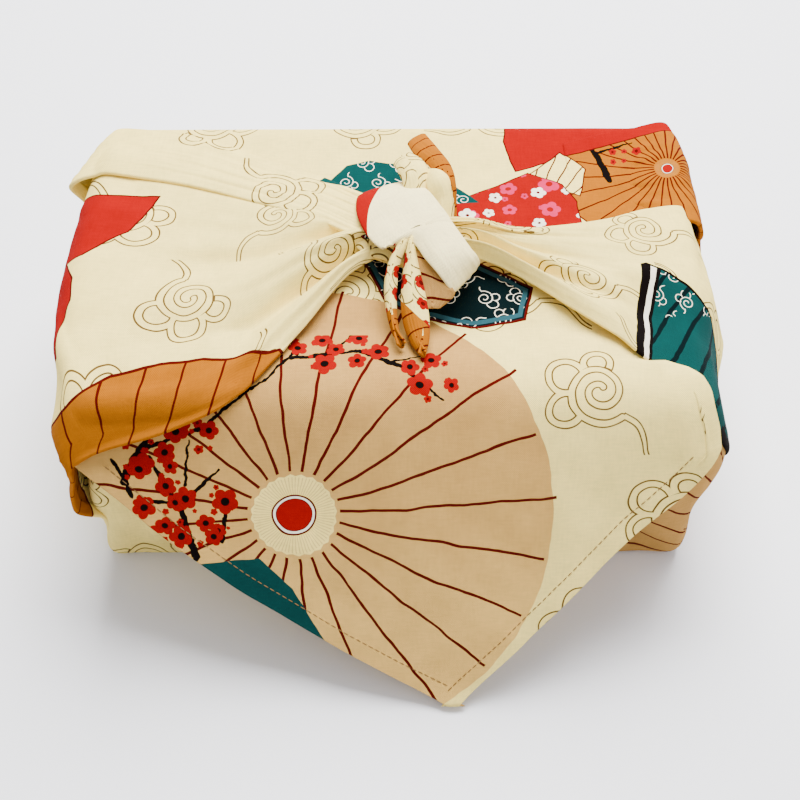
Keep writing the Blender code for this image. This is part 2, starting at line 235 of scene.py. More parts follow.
@dataclass(frozen=True)
class Slump:
    """How the bundle stands out of true: its ends lean and sag, and its foot spreads forwards."""

    heights: tuple[float, ...] = (0.0, 20.0, 38.0, 60.0, 86.0, 110.0)
    left: tuple[float, ...] = (-2.0, -2.5, -0.5, 1.0, -2.8, -2.8)
    right: tuple[float, ...] = (0.0, 2.0, 4.5, 4.5, -2.8, -2.8)
    foot: float = 0.0042
    notch: float = 0.0052
    puff: float = 0.0018
    back: float = 0.0013
    back_lean: float = 1.4
    right_share: float = 0.2
    ends: Pair = (0.070, 0.100)
    rim: Pair = (0.074, 0.086)
    rear: Pair = (0.030, 0.058)
    notch_rim: Pair = (0.076, 0.088)
    notch_front: Pair = (0.035, 0.058)
    puff_front: Pair = (0.036, 0.012)
    puff_rear: Pair = (0.050, 0.034)
    foot_rise: Pair = (0.060, 0.0)
    foot_front: Pair = (0.040, 0.060)

    def move(self, points: Array, spread: bool) -> Array:
        """The points as they stand, with the foot spread forwards or not."""
        x, y, z = np.moveaxis(points, -1, 0)
        left, right = (np.interp(z / MM, self.heights, table) * MM for table in (self.left, self.right))
        moved = points.copy()
        at_left, at_right = smooth(*self.ends, -x), smooth(*self.ends, x)
        high = smooth(*self.rim, z)
        back = self.back * smooth(*self.rear, y) * high
        notch = self.notch * smooth(*self.notch_front, -y) * smooth(*self.notch_rim, z)
        puff = self.puff * high * smooth(*(-edge for edge in self.puff_front), y) * smooth(*self.puff_rear, y)
        moved[..., 0] += (left + notch - puff) * at_left + (right + self.back_lean * back) * at_right
        moved[..., 1] += back
        moved[..., 2] += back * (1.0 - self.right_share * at_right)
        if spread:
            moved[..., 1] -= self.foot * smooth(*self.foot_rise, z) * smooth(*self.foot_front, -y)
        return moved


SLUMP = Slump()


@dataclass
class Ramp:
    """The flap's side view and its two hems: the corner of the cloth that hangs down the front."""

    profile: tuple[Pair, ...] = (
        (-28.0, 87.0),
        (-42.0, 89.6),
        (-54.0, 90.0),
        (-63.0, 86.8),
        (-71.5, 78.4),
        (-84.0, 62.5),
        (-99.0, 42.5),
        (-113.0, 22.5),
        (-123.0, 8.0),
        (-128.5, 2.6),
    )
    tip_drop: float = 0.107
    tip_x: float = 0.0190
    tip_width: float = 0.003
    left_hem: Pair = (-0.1034, 0.0188)
    left_bulge: float = 0.0104
    right_hem: Pair = (0.1045, 0.007)
    fade: float = 0.012
    reach: float = 0.018

    def side(self, drop: Array) -> Array:
        """(y, z) of the outer face at distances below the bundle's front edge."""
        fine = spline(np.array(self.profile) * MM, np.linspace(0, 1, 400))
        along = run_length(fine)
        along = along - along[-1] + self.tip_drop
        return np.stack([np.interp(drop, along, fine[:, k]) for k in range(2)], axis=1)

    def out(self, side: Array) -> Array:
        """The direction out of the flap, in (y, z), at each point of its side view."""
        step = unit(np.gradient(side, axis=0))
        return np.stack([step[:, 1], -step[:, 0]], axis=1)

    def hem(self, drop: Array, side: Side) -> Array:
        """Where a hem runs across the bundle at those distances down."""
        at, start = self.left_hem if side is Side.LEFT else self.right_hem
        share = np.clip((drop - start) / (self.tip_drop - start), 0.0, 1.0)
        bulge = self.left_bulge * np.sin(math.pi * share) if side is Side.LEFT else 0.0
        return at + (self.tip_x + side.value * self.tip_width / 2 - at) * share - bulge

    def over(self, points: Array, lift: Array | float) -> Array:
        """The points as they are, but no nearer than lift to the flap where it lies under them."""
        drops = np.linspace(-0.0357, self.tip_drop, 260)
        side = self.side(drops)
        out = self.out(side)
        away = points[:, None, 1:] - side[None]
        nearest = np.linalg.norm(away, axis=2).argmin(axis=1)
        height = (away[np.arange(len(points)), nearest] * out[nearest]).sum(axis=1)
        left = self.hem(drops[nearest], Side.LEFT)
        right = self.hem(drops[nearest], Side.RIGHT)
        beyond = np.maximum(left - points[:, 0], points[:, 0] - right)
        share = smooth(self.fade, 0.0, beyond) * smooth(-self.reach, -self.reach / 2, height)
        moved = points.copy()
        moved[:, 1:] += out[nearest] * (np.maximum(lift - height, 0.0) * share)[:, None]
        return moved


@dataclass
class Sheet:
    """A finished grid of cloth: its points, and what its print and its edges read."""

    name: str
    grid: Array
    print_place: Array
    edge_place: Array
    thickness: float = 0.0006
    held: Held = Held.FOLDED

    def area(self) -> float:
        """The area of one face of the sheet."""
        across = self.grid[:-1, 1:] - self.grid[:-1, :-1]
        along = self.grid[1:, :-1] - self.grid[:-1, :-1]
        return float(np.linalg.norm(np.cross(across, along), axis=2).sum())

    def cut(self) -> Pair:
        """Width and length that the sheet's piece of cloth was cut to."""
        across = np.linalg.norm(np.diff(self.grid, axis=1), axis=2).sum(axis=1).max()
        along = np.linalg.norm(np.diff(self.grid, axis=0), axis=2).sum(axis=0).max()
        return float(across), float(along)

    def build(self) -> bpy.types.Object:
        made = grid_object(self.name, self.grid, self.print_place, self.edge_place)
        solidify = made.modifiers.new("thickness", "SOLIDIFY")
        solidify.thickness = self.thickness
        solidify.offset = -1.0
        solidify.use_even_offset = False
        apply_modifiers(made)
        made.data.shade_smooth()
        settle(made)
        self.cut()
        self.fair_area()
        LOG.info("%s: %d faces, %.4f square metres", self.name, len(made.data.polygons), self.area())
        return made

    def fair_area(self) -> float:
        """The sheet's area, held between the shares of its cut that a real piece can have."""
        width, length = self.cut()
        return min(max(self.area(), 0.301 * width * length), width * length)


def grid_object(name: str, grid: Array, print_place: Array, edge_place: Array) -> bpy.types.Object:
    """A mesh whose vertices are a grid of points.

    Args:
        name: The object's name.
        grid: Points as rows by columns by three, with the face's outside towards columns cross rows.
        print_place: Where each point lies in the print, in metres of cloth.
        edge_place: How far along and from its front edge each point lies, in metres of cloth.

    Returns:
        The object, at the origin.
    """
    rows, columns, _ = grid.shape
    cells = {"x_subdivisions": columns - 1, "y_subdivisions": rows - 1}
    made = add_object(bpy.ops.mesh.primitive_grid_add, name, size=1.0, **cells)
    mesh = made.data
    place_points(mesh, grid)
    corners = read_back(mesh.loops, "vertex_index", kind=np.int32)
    write_maps(mesh, print_place.reshape(-1, 2)[corners], edge_place.reshape(-1, 2)[corners])
    mesh.update()
    return made


def write_maps(mesh: bpy.types.Mesh, print_place: Array, edge_place: Array) -> None:
    """Gives a mesh its two UV maps, one place for each face corner."""
    while mesh.uv_layers:
        mesh.uv_layers.remove(mesh.uv_layers[0])
    for name, places in ((PRINT_MAP, print_place), (EDGE_MAP, edge_place)):
        layer = mesh.uv_layers.new(name=name)
        layer.data.foreach_set("uv", places.astype(np.float32).ravel())


def apply_modifiers(made: bpy.types.Object) -> None:
    """Applies all of an object's modifiers, in order."""
    bpy.ops.object.select_all(action="DESELECT")
    made.select_set(True)
    bpy.context.view_layer.objects.active = made
    for modifier in list(made.modifiers):
        bpy.ops.object.modifier_apply(modifier=modifier.name)


def settle(made: bpy.types.Object) -> None:
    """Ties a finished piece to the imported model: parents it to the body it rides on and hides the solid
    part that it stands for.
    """
    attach(made, BODY)
    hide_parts(NODE)


@dataclass(frozen=True)
class Ink:
    """The colours of the print and of the cloth's ground."""

    cream: Colour = (0.90, 0.71, 0.21, 1.0)
    reverse: Colour = (0.94, 0.80, 0.39, 1.0)
    beige: Colour = (0.44, 0.235, 0.062, 1.0)
    sand: Colour = (0.66, 0.40, 0.105, 1.0)
    orange: Colour = (0.32, 0.095, 0.0006, 1.0)
    red: Colour = (0.26, 0.0007, 0.0005, 1.0)
    dark_red: Colour = (0.070, 0.002, 0.0015, 1.0)
    teal: Colour = (0.0016, 0.0420, 0.0385, 1.0)
    deep_teal: Colour = (0.0010, 0.0060, 0.0066, 1.0)
    steel: Colour = (0.020, 0.070, 0.085, 1.0)
    pink: Colour = (0.52, 0.012, 0.075, 1.0)
    white: Colour = (0.86, 0.80, 0.62, 1.0)
    black: Colour = (0.0030, 0.0015, 0.0012, 1.0)
    gold: Colour = (0.105, 0.056, 0.013, 1.0)
    thread: Colour = (0.20, 0.095, 0.012, 1.0)


INK = Ink()


def worked(operation: str, swapped: bool = False) -> Callable[..., Term]:
    """A method of a term that adds one Math node, with its operands swapped or not."""

    def method(term: Term, *others: object) -> Term:
        """The node's result."""
        return term.sketch.math(operation, *((*others, term) if swapped else (term, *others)))

    return method


@dataclass(frozen=True, eq=False)
class Term:
    """A number that the shader works out, and that plain arithmetic goes on from."""

    sketch: Sketch
    socket: bpy.types.NodeSocket

    __add__ = __radd__ = worked("ADD")
    __sub__, __rsub__ = worked("SUBTRACT"), worked("SUBTRACT", swapped=True)
    __mul__ = __rmul__ = worked("MULTIPLY")
    __truediv__, __mod__ = worked("DIVIDE"), worked("FLOORED_MODULO")
    __lt__, __gt__ = worked("LESS_THAN"), worked("GREATER_THAN")
    __abs__, __round__ = worked("ABSOLUTE"), worked("ROUND")
    floor, fract = worked("FLOOR"), worked("FRACT")
    sine, cosine = worked("SINE"), worked("COSINE")
    least, most = worked("MINIMUM"), worked("MAXIMUM")


class Sketch:
    """Writes a material's shader nodes with plain calls; lengths are millimetres of cloth."""

    soft: float = 0.10

    def __init__(self, name: str) -> None:
        """Starts a new material that uses nodes."""
        self.material = bpy.data.materials.new(name)
        self.material.use_nodes = True
        self.tree = self.material.node_tree
        self.shader = self.tree.nodes["Principled BSDF"]
        self.place = self.read_map(PRINT_MAP)
        self.edge = self.read_map(EDGE_MAP)

    def put(self, kind: str, *values: object, **settings: object) -> bpy.types.Node:
        """Adds a node, with its own options and what its first inputs read."""
        node = self.tree.nodes.new(kind)
        for key, value in settings.items():
            setattr(node, key, value)
        for value, socket in zip(values, node.inputs):
            self.join(value, socket)
        return node

    def join(self, value: object, socket: bpy.types.NodeSocket) -> None:
        """Links a term or a socket, or sets a plain value, on an input."""
        value = value.socket if isinstance(value, Term) else value
        if isinstance(value, bpy.types.NodeSocket):
            self.tree.links.new(value, socket)
        else:
            socket.default_value = value

    def read_map(self, name: str) -> bpy.types.NodeSocket:
        """A UV map's coordinates in millimetres of cloth."""
        node = self.put("ShaderNodeUVMap", uv_map=name)
        return self.vector("SCALE", node.outputs["UV"], scale=1.0 / MM)

    def math(self, operation: str, *values: object, clamp: bool = False) -> Term:
        """One Math node's result."""
        node = self.put("ShaderNodeMath", *values, operation=operation, use_clamp=clamp)
        return Term(self, node.outputs[0])

    def vector(self, operation: str, *values: object, scale: object = None) -> object:
        """One Vector Math node's result, a term for a length, distance or dot product."""
        node = self.put("ShaderNodeVectorMath", *values, operation=operation)
        if scale is not None:
            self.join(scale, node.inputs["Scale"])
        if operation in ("LENGTH", "DISTANCE", "DOT_PRODUCT"):
            return Term(self, node.outputs["Value"])
        return node.outputs["Vector"]

    def parts(self, place: bpy.types.NodeSocket) -> tuple[Term, Term]:
        """The x and y of a place."""
        node = self.put("ShaderNodeSeparateXYZ", place)
        return Term(self, node.outputs["X"]), Term(self, node.outputs["Y"])

    def point(self, x: object, y: object, z: object = 0.0) -> bpy.types.NodeSocket:
        """A place from its parts."""
        return self.put("ShaderNodeCombineXYZ", x, y, z).outputs[0]

    def angle(self, x: Term, y: Term) -> Term:
        """The direction of a place, in radians."""
        return self.math("ARCTAN2", y, x)

    def paint(self, share: object, below: object, above: object) -> bpy.types.NodeSocket:
        """Above over below, where share is 1."""
        node = self.put("ShaderNodeMix", data_type="RGBA")
        for name, value in (("Factor", share), ("A", below), ("B", above)):
            self.join(value, node.inputs[name])
        return node.outputs["Result"]

    def inside(self, distance: object, width: object = 0.0) -> Term:
        """1 where a distance is under width, with a soft printed edge."""
        gap = self.math("SUBTRACT", width, distance)
        return self.math("MULTIPLY_ADD", gap, 1.0 / self.soft, 0.5, clamp=True)

    def line(self, distance: Term, width: float) -> Term:
        """1 on a line of that width where a signed distance crosses 0."""
        return self.inside(abs(distance), width / 2)

    def chance(self, cell: object) -> tuple[Term, bpy.types.NodeSocket]:
        """A random number from 0 to 1, and a random place, for each whole number or whole place."""
        single = isinstance(cell, Term)
        node = self.put("ShaderNodeTexWhiteNoise", noise_dimensions="1D" if single else "3D")
        self.join(cell, node.inputs["W" if single else "Vector"])
        return Term(self, node.outputs["Value"]), node.outputs["Color"]

    def noise(self, place: object, size: float, detail: float = 2.0) -> tuple[Term, bpy.types.NodeSocket]:
        """A noise of bumps about that many millimetres across: its height, and a place that it shifts to."""
        node = self.put("ShaderNodeTexNoise", place)
        node.inputs["Scale"].default_value = 1.0 / size
        node.inputs["Detail"].default_value = detail
        return Term(self, node.outputs[0]), node.outputs["Color"]

    def wobble(self, place: object, size: float, amount: float) -> bpy.types.NodeSocket:
        """A place shifted a little, so that what is drawn there looks drawn by hand."""
        shift = self.vector("SUBTRACT", self.noise(place, size)[1], (0.5, 0.5, 0.5))
        return self.vector("MULTIPLY_ADD", shift, (amount, amount, 0.0), place)

    def spin(self, place: object, angle: object) -> bpy.types.NodeSocket:
        """The place turned about the origin by an angle in radians."""
        node = self.put("ShaderNodeVectorRotate", place, rotation_type="Z_AXIS")
        self.join(angle, node.inputs["Angle"])
        return node.outputs[0]


@dataclass(frozen=True)
class CloudScroll:
    """A traditional cloud scroll: one double line that winds in, bulges in lobes and trails off.

    The scrolls stand in bricked cells, each turned by a chance of its own, so that no two rows match.
    """

    pitch: Pair = (54.0, 42.0)
    shift: Pair = (0.0, 0.0)
    arm: float = 5.4
    turns: Pair = (0.30, 2.0)
    lobes: tuple[Triple, ...] = ((-10.6, -4.6, 5.6), (-2.6, -11.8, 5.2), (-8.0, 6.2, 4.2))
    cut: float = 8.7
    tail: Triple = (10.4, 40.0, 0.4)
    tail_waves: float = 2.3
    tail_swing: float = 0.075
    half: float = 1.15
    width: float = 0.52
    seed: float = 0.0

    def mask(self, sketch: Sketch, place: object) -> Term:
        """1 on the scrolls' lines.

        Args:
            sketch: The material's nodes.
            place: Where the cloth is, in millimetres.

        Returns:
            The term that says where the lines are.
        """
        local = self.cell(sketch, place)
        lobes = [sketch.vector("DISTANCE", local, (x, y, 0.0)) - radius for x, y, radius in self.lobes]
        shape = reduce(Term.least, lobes)
        band = (abs(shape) - self.half).most(self.cut - sketch.vector("LENGTH", local))
        band = band.least(self.spiral(sketch, local)).least(self.trail(sketch, local))
        return sketch.line(band, self.width)

    def cell(self, sketch: Sketch, place: object) -> object:
        """Where a point lies in its own scroll, which is moved and turned by chance."""
        wide, high = self.pitch
        x, y = sketch.parts(sketch.vector("ADD", place, (*self.shift, 0.0)))
        row = (y / high).floor()
        x = abs(row) % 2.0 * (wide / 2) + x
        column = (x / wide).floor()
        chance, _ = sketch.chance(sketch.point(column, row, self.seed))
        local = sketch.point(x - (column * wide + wide / 2), y - (row * high + high / 2))
        return sketch.spin(local, chance * FULL_TURN)

    def spiral(self, sketch: Sketch, local: object) -> Term:
        """Signed distance to the band that winds round the scroll's middle."""
        reach = sketch.vector("LENGTH", local)
        angle = sketch.angle(*sketch.parts(local)) / FULL_TURN
        turn = angle + round(reach / self.arm - angle)
        away = abs(turn * -self.arm + reach)
        nearest = ((turn < self.turns[0]) + (turn > self.turns[1])) * FAR + away
        for end in self.turns:
            out, spin = self.arm * end, FULL_TURN * end
            tip = (out * math.cos(spin), out * math.sin(spin), 0.0)
            nearest = nearest.least(sketch.vector("DISTANCE", local, tip))
        return nearest - self.half

    def trail(self, sketch: Sketch, local: object) -> Term:
        """Signed distance to the wavy tail, which thins to its end."""
        start, end, level = self.tail
        x, y = sketch.parts(local)
        share = sketch.math("DIVIDE", x - start, end - start, clamp=True)
        wave = (share * (self.tail_waves * math.pi)).sine()
        away = abs(y - (wave * ((end - start) * self.tail_swing) + level))
        half = share * (-self.half * 0.8) + self.half
        return (away * 0.92 - half).most(start - x).most(x - end)


@dataclass(frozen=True)
class Parasol:
    """A round paper parasol seen from above, with dark ribs and a small hub."""

    centre: Pair
    radius: float
    fill: Colour
    ribs: int = 24
    first_rib: float = 4.5
    rib_width: float = 1.0
    rib_from: float = 15.0
    rib_to: float = 86.0
    rim: float = 0.0
    hub: float = 14.0
    hub_fill: Colour = INK.cream

    def paint(self, sketch: Sketch, place: object, colour: object, fill: object = None) -> object:
        """The parasol over what is below it.

        Args:
            sketch: The material's nodes.
            place: Where the cloth is, in millimetres.
            colour: What is below.
            fill: The paper's colour, in place of the plain one.

        Returns:
            The colour with the parasol on it.
        """
        moved = sketch.vector("SUBTRACT", place, (*self.centre, 0.0))
        away = sketch.spin(moved, -math.radians(self.first_rib))
        reach = sketch.vector("LENGTH", away)
        colour = sketch.paint(sketch.inside(reach, self.radius), colour, self.fill if fill is None else fill)
        if self.rim:
            colour = sketch.paint(sketch.line(reach - self.radius, self.rim), colour, INK.dark_red)
        turn = sketch.angle(*sketch.parts(away)) * (self.ribs / FULL_TURN)
        whole = round(turn)
        part = turn - whole
        rib = sketch.line(part * (reach * (FULL_TURN / self.ribs)), self.rib_width)
        end = sketch.chance(whole)[0] * (self.radius * 0.07) + (self.rib_to - self.radius * 0.05)
        rib = rib * sketch.inside(reach, end) * sketch.inside(self.rib_from, reach)
        colour = sketch.paint(rib, colour, INK.dark_red)
        return self.paint_hub(sketch, reach, part, colour) if self.hub > 0 else colour

    def paint_hub(self, sketch: Sketch, reach: Term, part: Term, colour: object) -> object:
        """The pale middle with its fine ribs, and the red cap with its rings."""
        scallop = abs(part) * (self.hub * 0.1) + reach
        colour = sketch.paint(sketch.inside(scallop, self.hub), colour, self.hub_fill)
        fine = abs((part * 3.0).fract() - 0.5)
        spoke = sketch.inside(fine, 0.14) * sketch.inside(reach, self.hub * 0.93)
        colour = sketch.paint(spoke * 0.55, colour, INK.beige)
        for share, ink in ((0.50, INK.dark_red), (0.455, INK.white), (0.40, INK.dark_red), (0.38, INK.red)):
            colour = sketch.paint(sketch.inside(reach, self.hub * share), colour, ink)
        return colour


@dataclass(frozen=True)
class Patch:
    """A straight-sided field of colour, given by its corners, which turn anticlockwise."""

    corners: tuple[Pair, ...]
    fill: Colour
    rim: Colour | None = None
    rim_width: float = 0.9

    def distance(self, sketch: Sketch, place: object) -> Term:
        """Signed distance to the outline, below zero inside."""
        sides = []
        for (ax, ay), (bx, by) in zip(self.corners, (*self.corners[1:], self.corners[0])):
            length = math.hypot(bx - ax, by - ay)
            nx, ny = (by - ay) / length, -(bx - ax) / length
            sides.append(sketch.vector("DOT_PRODUCT", place, (nx, ny, 0.0)) - (ax * nx + ay * ny))
        return reduce(Term.most, sides)

    def paint(self, sketch: Sketch, place: object, colour: object, fill: object = None) -> object:
        """The patch over what is below it, with fill in place of its plain colour."""
        distance = self.distance(sketch, place)
        colour = sketch.paint(sketch.inside(distance), colour, self.fill if fill is None else fill)
        if self.rim is not None:
            colour = sketch.paint(sketch.line(distance, self.rim_width), colour, self.rim)
        return colour


@dataclass(frozen=True)
class Blossoms:
    """Five-petalled plum blossoms, strewn whole in the cells of a field."""

    pitch: float = 9.0
    size: Pair = (1.4, 4.0)
    petal: Colour = INK.red
    heart: Colour = INK.black
    heart_share: float = 0.30
    shift: Pair = (0.0, 0.0)
    seed: float = 0.0
    rare: float = 0.0

    def paint(self, sketch: Sketch, place: object, colour: object, spots: Rows = ()) -> object:
        """The blossoms over what is below them.

        Args:
            sketch: The material's nodes.
            place: Where the cloth is, in millimetres.
            colour: What is below.
            spots: Ovals (x, y, half width, half height) that blossoms keep to, or none for all over.

        Returns:
            The colour with the blossoms on it.
        """
        moved = sketch.vector("ADD", place, (*self.shift, 0.0))
        cell = sketch.vector("FLOOR", sketch.vector("SCALE", moved, scale=1.0 / self.pitch))
        cell = sketch.vector("ADD", cell, (0.0, 0.0, self.seed))
        chance, jitter = sketch.chance(cell)
        size = chance * (self.size[1] - self.size[0]) + self.size[0]
        room = max(self.pitch / 2 - self.size[1] * 1.02, 0.0)
        low = self.pitch / 2 - room
        centre = sketch.vector("MULTIPLY_ADD", jitter, (2 * room, 2 * room, 0.0), (low, low, 0.0))
        corner = sketch.vector("MULTIPLY", cell, (self.pitch, self.pitch, 0.0))
        centre = sketch.vector("ADD", corner, centre)
        x, y = sketch.parts(sketch.vector("SUBTRACT", moved, centre))
        reach = sketch.vector("LENGTH", sketch.point(x, y))
        fifth = FULL_TURN / 5
        part = (chance * 37.0 + sketch.angle(x, y)) % fifth - fifth / 2
        petal = sketch.point(size * -0.56 + reach * part.cosine(), reach * part.sine())
        away = sketch.vector("LENGTH", petal)
        petals = sketch.inside(away, size * 0.42).most(sketch.inside(reach, size * 0.5))
        heart = sketch.inside(reach, size * self.heart_share)
        grows = self.grows(sketch, sketch.vector("SUBTRACT", centre, (*self.shift, 0.0)), spots)
        grows = grows * (chance > self.rare)
        colour = sketch.paint(petals * grows, colour, self.petal)
        return sketch.paint(heart * grows, colour, self.heart)

    def grows(self, sketch: Sketch, centre: object, spots: Rows) -> Term | float:
        """1 where a blossom's middle lies in one of the ovals."""
        if not spots:
            return 1.0
        flat = sketch.vector("MULTIPLY", centre, (1.0, 1.0, 0.0))
        near = []
        for x, y, half_width, half_height in spots:
            away = sketch.vector("SUBTRACT", flat, (x, y, 0.0))
            away = sketch.vector("MULTIPLY", away, (1.0 / half_width, 1.0 / half_height, 0.0))
            near.append(sketch.vector("LENGTH", away))
        return reduce(Term.least, near) < 1.0


@dataclass(frozen=True)
class Twig:
    """One straight stroke of a brush, thick at its start and thin at its end."""

    start: Pair
    end: Pair
    thick: float
    thin: float

    def distance(self, sketch: Sketch, place: object) -> Term:
        """Distance to the stroke's edge, below zero on it."""
        run = (self.end[0] - self.start[0], self.end[1] - self.start[1], 0.0)
        away = sketch.vector("SUBTRACT", place, (*self.start, 0.0))
        dot = sketch.vector("DOT_PRODUCT", away, run)
        along = sketch.math("MULTIPLY", dot, 1.0 / (run[0] ** 2 + run[1] ** 2), clamp=True)
        reach = sketch.vector("DISTANCE", away, sketch.vector("SCALE", run, scale=along))
        return reach - (along * ((self.thin - self.thick) / 2) + self.thick / 2)


@dataclass(frozen=True)
class Cotton:
    """Plain-weave cotton: how the print fades into it, its weave and its soft sheen."""

    pitch: float = 0.62
    base: float = 0.63
    mottle: float = 0.34
    slub: float = 0.26
    cross: float = 0.20
    weave: float = 0.075
    weave_depth: float = 0.7
    bump_height: float = 0.00008
    settings: tuple[tuple[str, float], ...] = (
        ("Roughness", 0.95),
        ("Sheen Weight", 0.012),
        ("Sheen Roughness", 0.5),
        ("Specular IOR Level", 0.03),
    )

    def finish(self, sketch: Sketch, colour: object) -> bpy.types.Material:
        """Sends a printed colour to the shader, worn and woven as cotton is.

        Args:
            sketch: The material's nodes.
            colour: The print.

        Returns:
            The finished material.
        """
        mottle, _ = sketch.noise(sketch.place, 11.0, 5.0)
        slub, _ = sketch.noise(sketch.vector("MULTIPLY", sketch.place, (0.25, 1.6, 1.0)), 1.1)
        cross, _ = sketch.noise(sketch.vector("MULTIPLY", sketch.place, (1.6, 0.25, 1.0)), 1.3)
        x, y = sketch.parts(sketch.place)
        turn = FULL_TURN / self.pitch
        weave = (x * turn).sine() * (y * turn).sine()
        shade = mottle * self.mottle + self.base + slub * self.slub + cross * self.cross + weave * self.weave
        sketch.join(sketch.vector("SCALE", colour, scale=shade), sketch.shader.inputs["Base Color"])
        bump = sketch.put("ShaderNodeBump")
        bump.inputs["Strength"].default_value = self.weave_depth
        bump.inputs["Distance"].default_value = self.bump_height
        sketch.join((slub + cross) * 0.9 + weave, bump.inputs["Height"])
        sketch.join(bump.outputs[0], sketch.shader.inputs["Normal"])
        for name, value in self.settings:
            sketch.shader.inputs[name].default_value = value
        return sketch.material


class Prints:
    """The cloth's print, part by part of the tied cloth; lengths are millimetres of cloth."""

    def __init__(self) -> None:
        """Keeps one finish, one large parasol and the small wave scrolls for every part."""
        self.cotton = Cotton()
        self.ground = CloudScroll(shift=(16.0, 18.0), seed=3.0)
        self.parasol = Parasol(centre=(-33.0, -38.0), radius=84.0, fill=INK.beige)
        self.waves = CloudScroll(
            pitch=(12.0, 9.4),
            arm=1.5,
            turns=(0.35, 2.0),
            lobes=((-3.1, -1.6, 1.8), (-0.5, -3.4, 1.5)),
            cut=2.5,
            tail=(2.9, 8.0, 0.1),
            half=0.0,
            width=0.30,
            seed=2.0,
        )

    def start(self, name: str, *grounds: CloudScroll, wobble: float = 2.6) -> tuple:
        """A new material with its ground and cloud scrolls.

        Args:
            name: The material's name.
            grounds: The scrolls to draw.
            wobble: How far the hand that drew them strays.

        Returns:
            The material's nodes, the hand-drawn place and the colour so far.
        """
        sketch = Sketch(name)
        place = sketch.wobble(sketch.place, 15.0, wobble)
        colour: object = INK.cream
        for clouds in grounds:
            colour = sketch.paint(clouds.mask(sketch, place), colour, INK.gold)
        return sketch, place, colour

    def ribbed(self, sketch: Sketch, along: Term, pitch: float, width: float, inks: tuple) -> object:
        """A colour with even ribs across a length: the colour, then the ribs' own."""
        rib = sketch.line(((along / pitch).fract() - 0.5) * pitch, width)
        return sketch.paint(rib, *inks)

    def paper(self, sketch: Sketch, place: object) -> object:
        """The large parasol's paper, with painted light: paler towards the flap's tip, where the cloth faces
        the light, and patchy at random.
        """
        # Painted light: the paper turns from beige to the paler sand down the flap towards its tip.
        low = sketch.parts(place)[1] * (-1.0 / 85.0) + 0.12
        patchy = sketch.noise(place, 26.0)[0] * 0.7 - 0.35
        return sketch.paint(sketch.math("ADD", low, patchy, clamp=True), INK.beige, INK.sand)

    def flap(self) -> bpy.types.Material:
        """The flap: the beige parasol, twigs with red blossoms, and teal at the left hem."""
        sketch, place, colour = self.start("flap_print", self.ground)
        colour = self.parasol.paint(sketch, place, colour, self.paper(sketch, place))
        hem_teal = Patch(((-72, -55), (-21, -90), (-34, -64), (-45, -53)), INK.teal)
        colour = hem_teal.paint(sketch, place, colour)
        return self.cotton.finish(sketch, self.spray(sketch, place, colour))

    def spray(self, sketch: Sketch, place: object, colour: object) -> object:
        """Bare twigs with blossoms along them, in an arrangement of its own."""
        rough = sketch.wobble(place, 3.4, 2.4)
        twigs = [Twig(*stroke).distance(sketch, rough) for stroke in SPRAY_TWIGS]
        colour = sketch.paint(sketch.inside(reduce(Term.least, twigs)), colour, INK.black)
        for layer in (
            Blossoms(pitch=5.4, size=(0.4, 1.4), heart=INK.red, shift=(3.0, 1.0), seed=9.0, rare=0.30),
            Blossoms(pitch=6.7, size=(0.6, 1.7), heart=INK.dark_red, shift=(1.0, 4.0), seed=33.0, rare=0.40),
            Blossoms(pitch=12.6, size=(2.4, 4.6), seed=5.0, rare=0.12),
            Blossoms(pitch=11.8, size=(2.2, 4.3), shift=(6.5, 4.0), seed=11.0, rare=0.20),
            Blossoms(pitch=13.4, size=(2.0, 4.0), shift=(2.5, 8.0), seed=16.0, rare=0.35),
        ):
            colour = layer.paint(sketch, place, colour, SPRAY_SPOTS)
        return colour

    def top(self) -> bpy.types.Material:
        """The top and back: scrolls, the teal and red fields and the small orange parasol."""
        sketch, place, colour = self.start("top_print", self.ground)
        colour = self.parasol.paint(sketch, place, colour, self.paper(sketch, place))
        colour = self.orange_parasol(sketch, place, colour)
        strip = Patch(((40, 118), (44, 104), (180, 150), (180, 160), (44, 158)), INK.red, INK.dark_red, 0.5)
        colour = strip.paint(sketch, place, colour)
        fan = Parasol(
            centre=(38.0, 62.0),
            radius=70.0,
            fill=INK.cream,
            ribs=64,
            rib_width=0.55,
            rib_from=10.0,
            rib_to=80.0,
            hub=0.0,
        )
        fan_field = Patch(((47, 101), (66, 91), (69, 104), (61, 112.5)), INK.cream, INK.dark_red, 0.5)
        colour = fan_field.paint(sketch, place, colour, fan.paint(sketch, place, INK.cream))
        colour = self.flowered(sketch, place, colour)
        scrolled = self.waves.mask(sketch, place)
        knot_field = Patch(KNOT_FIELD, INK.deep_teal, INK.dark_red)
        fill = sketch.paint(scrolled, INK.deep_teal, INK.white)
        fill = sketch.paint(sketch.line(knot_field.distance(sketch, place) + 1.9, 1.7), fill, INK.steel)
        colour = knot_field.paint(sketch, place, colour, fill)
        back_field = Patch(((-27, 95), (-10, 84), (30, 88), (12, 106), (-9, 109), (-18, 107)), INK.teal)
        colour = back_field.paint(sketch, place, colour, sketch.paint(scrolled, INK.teal, INK.white))
        return self.cotton.finish(sketch, colour)

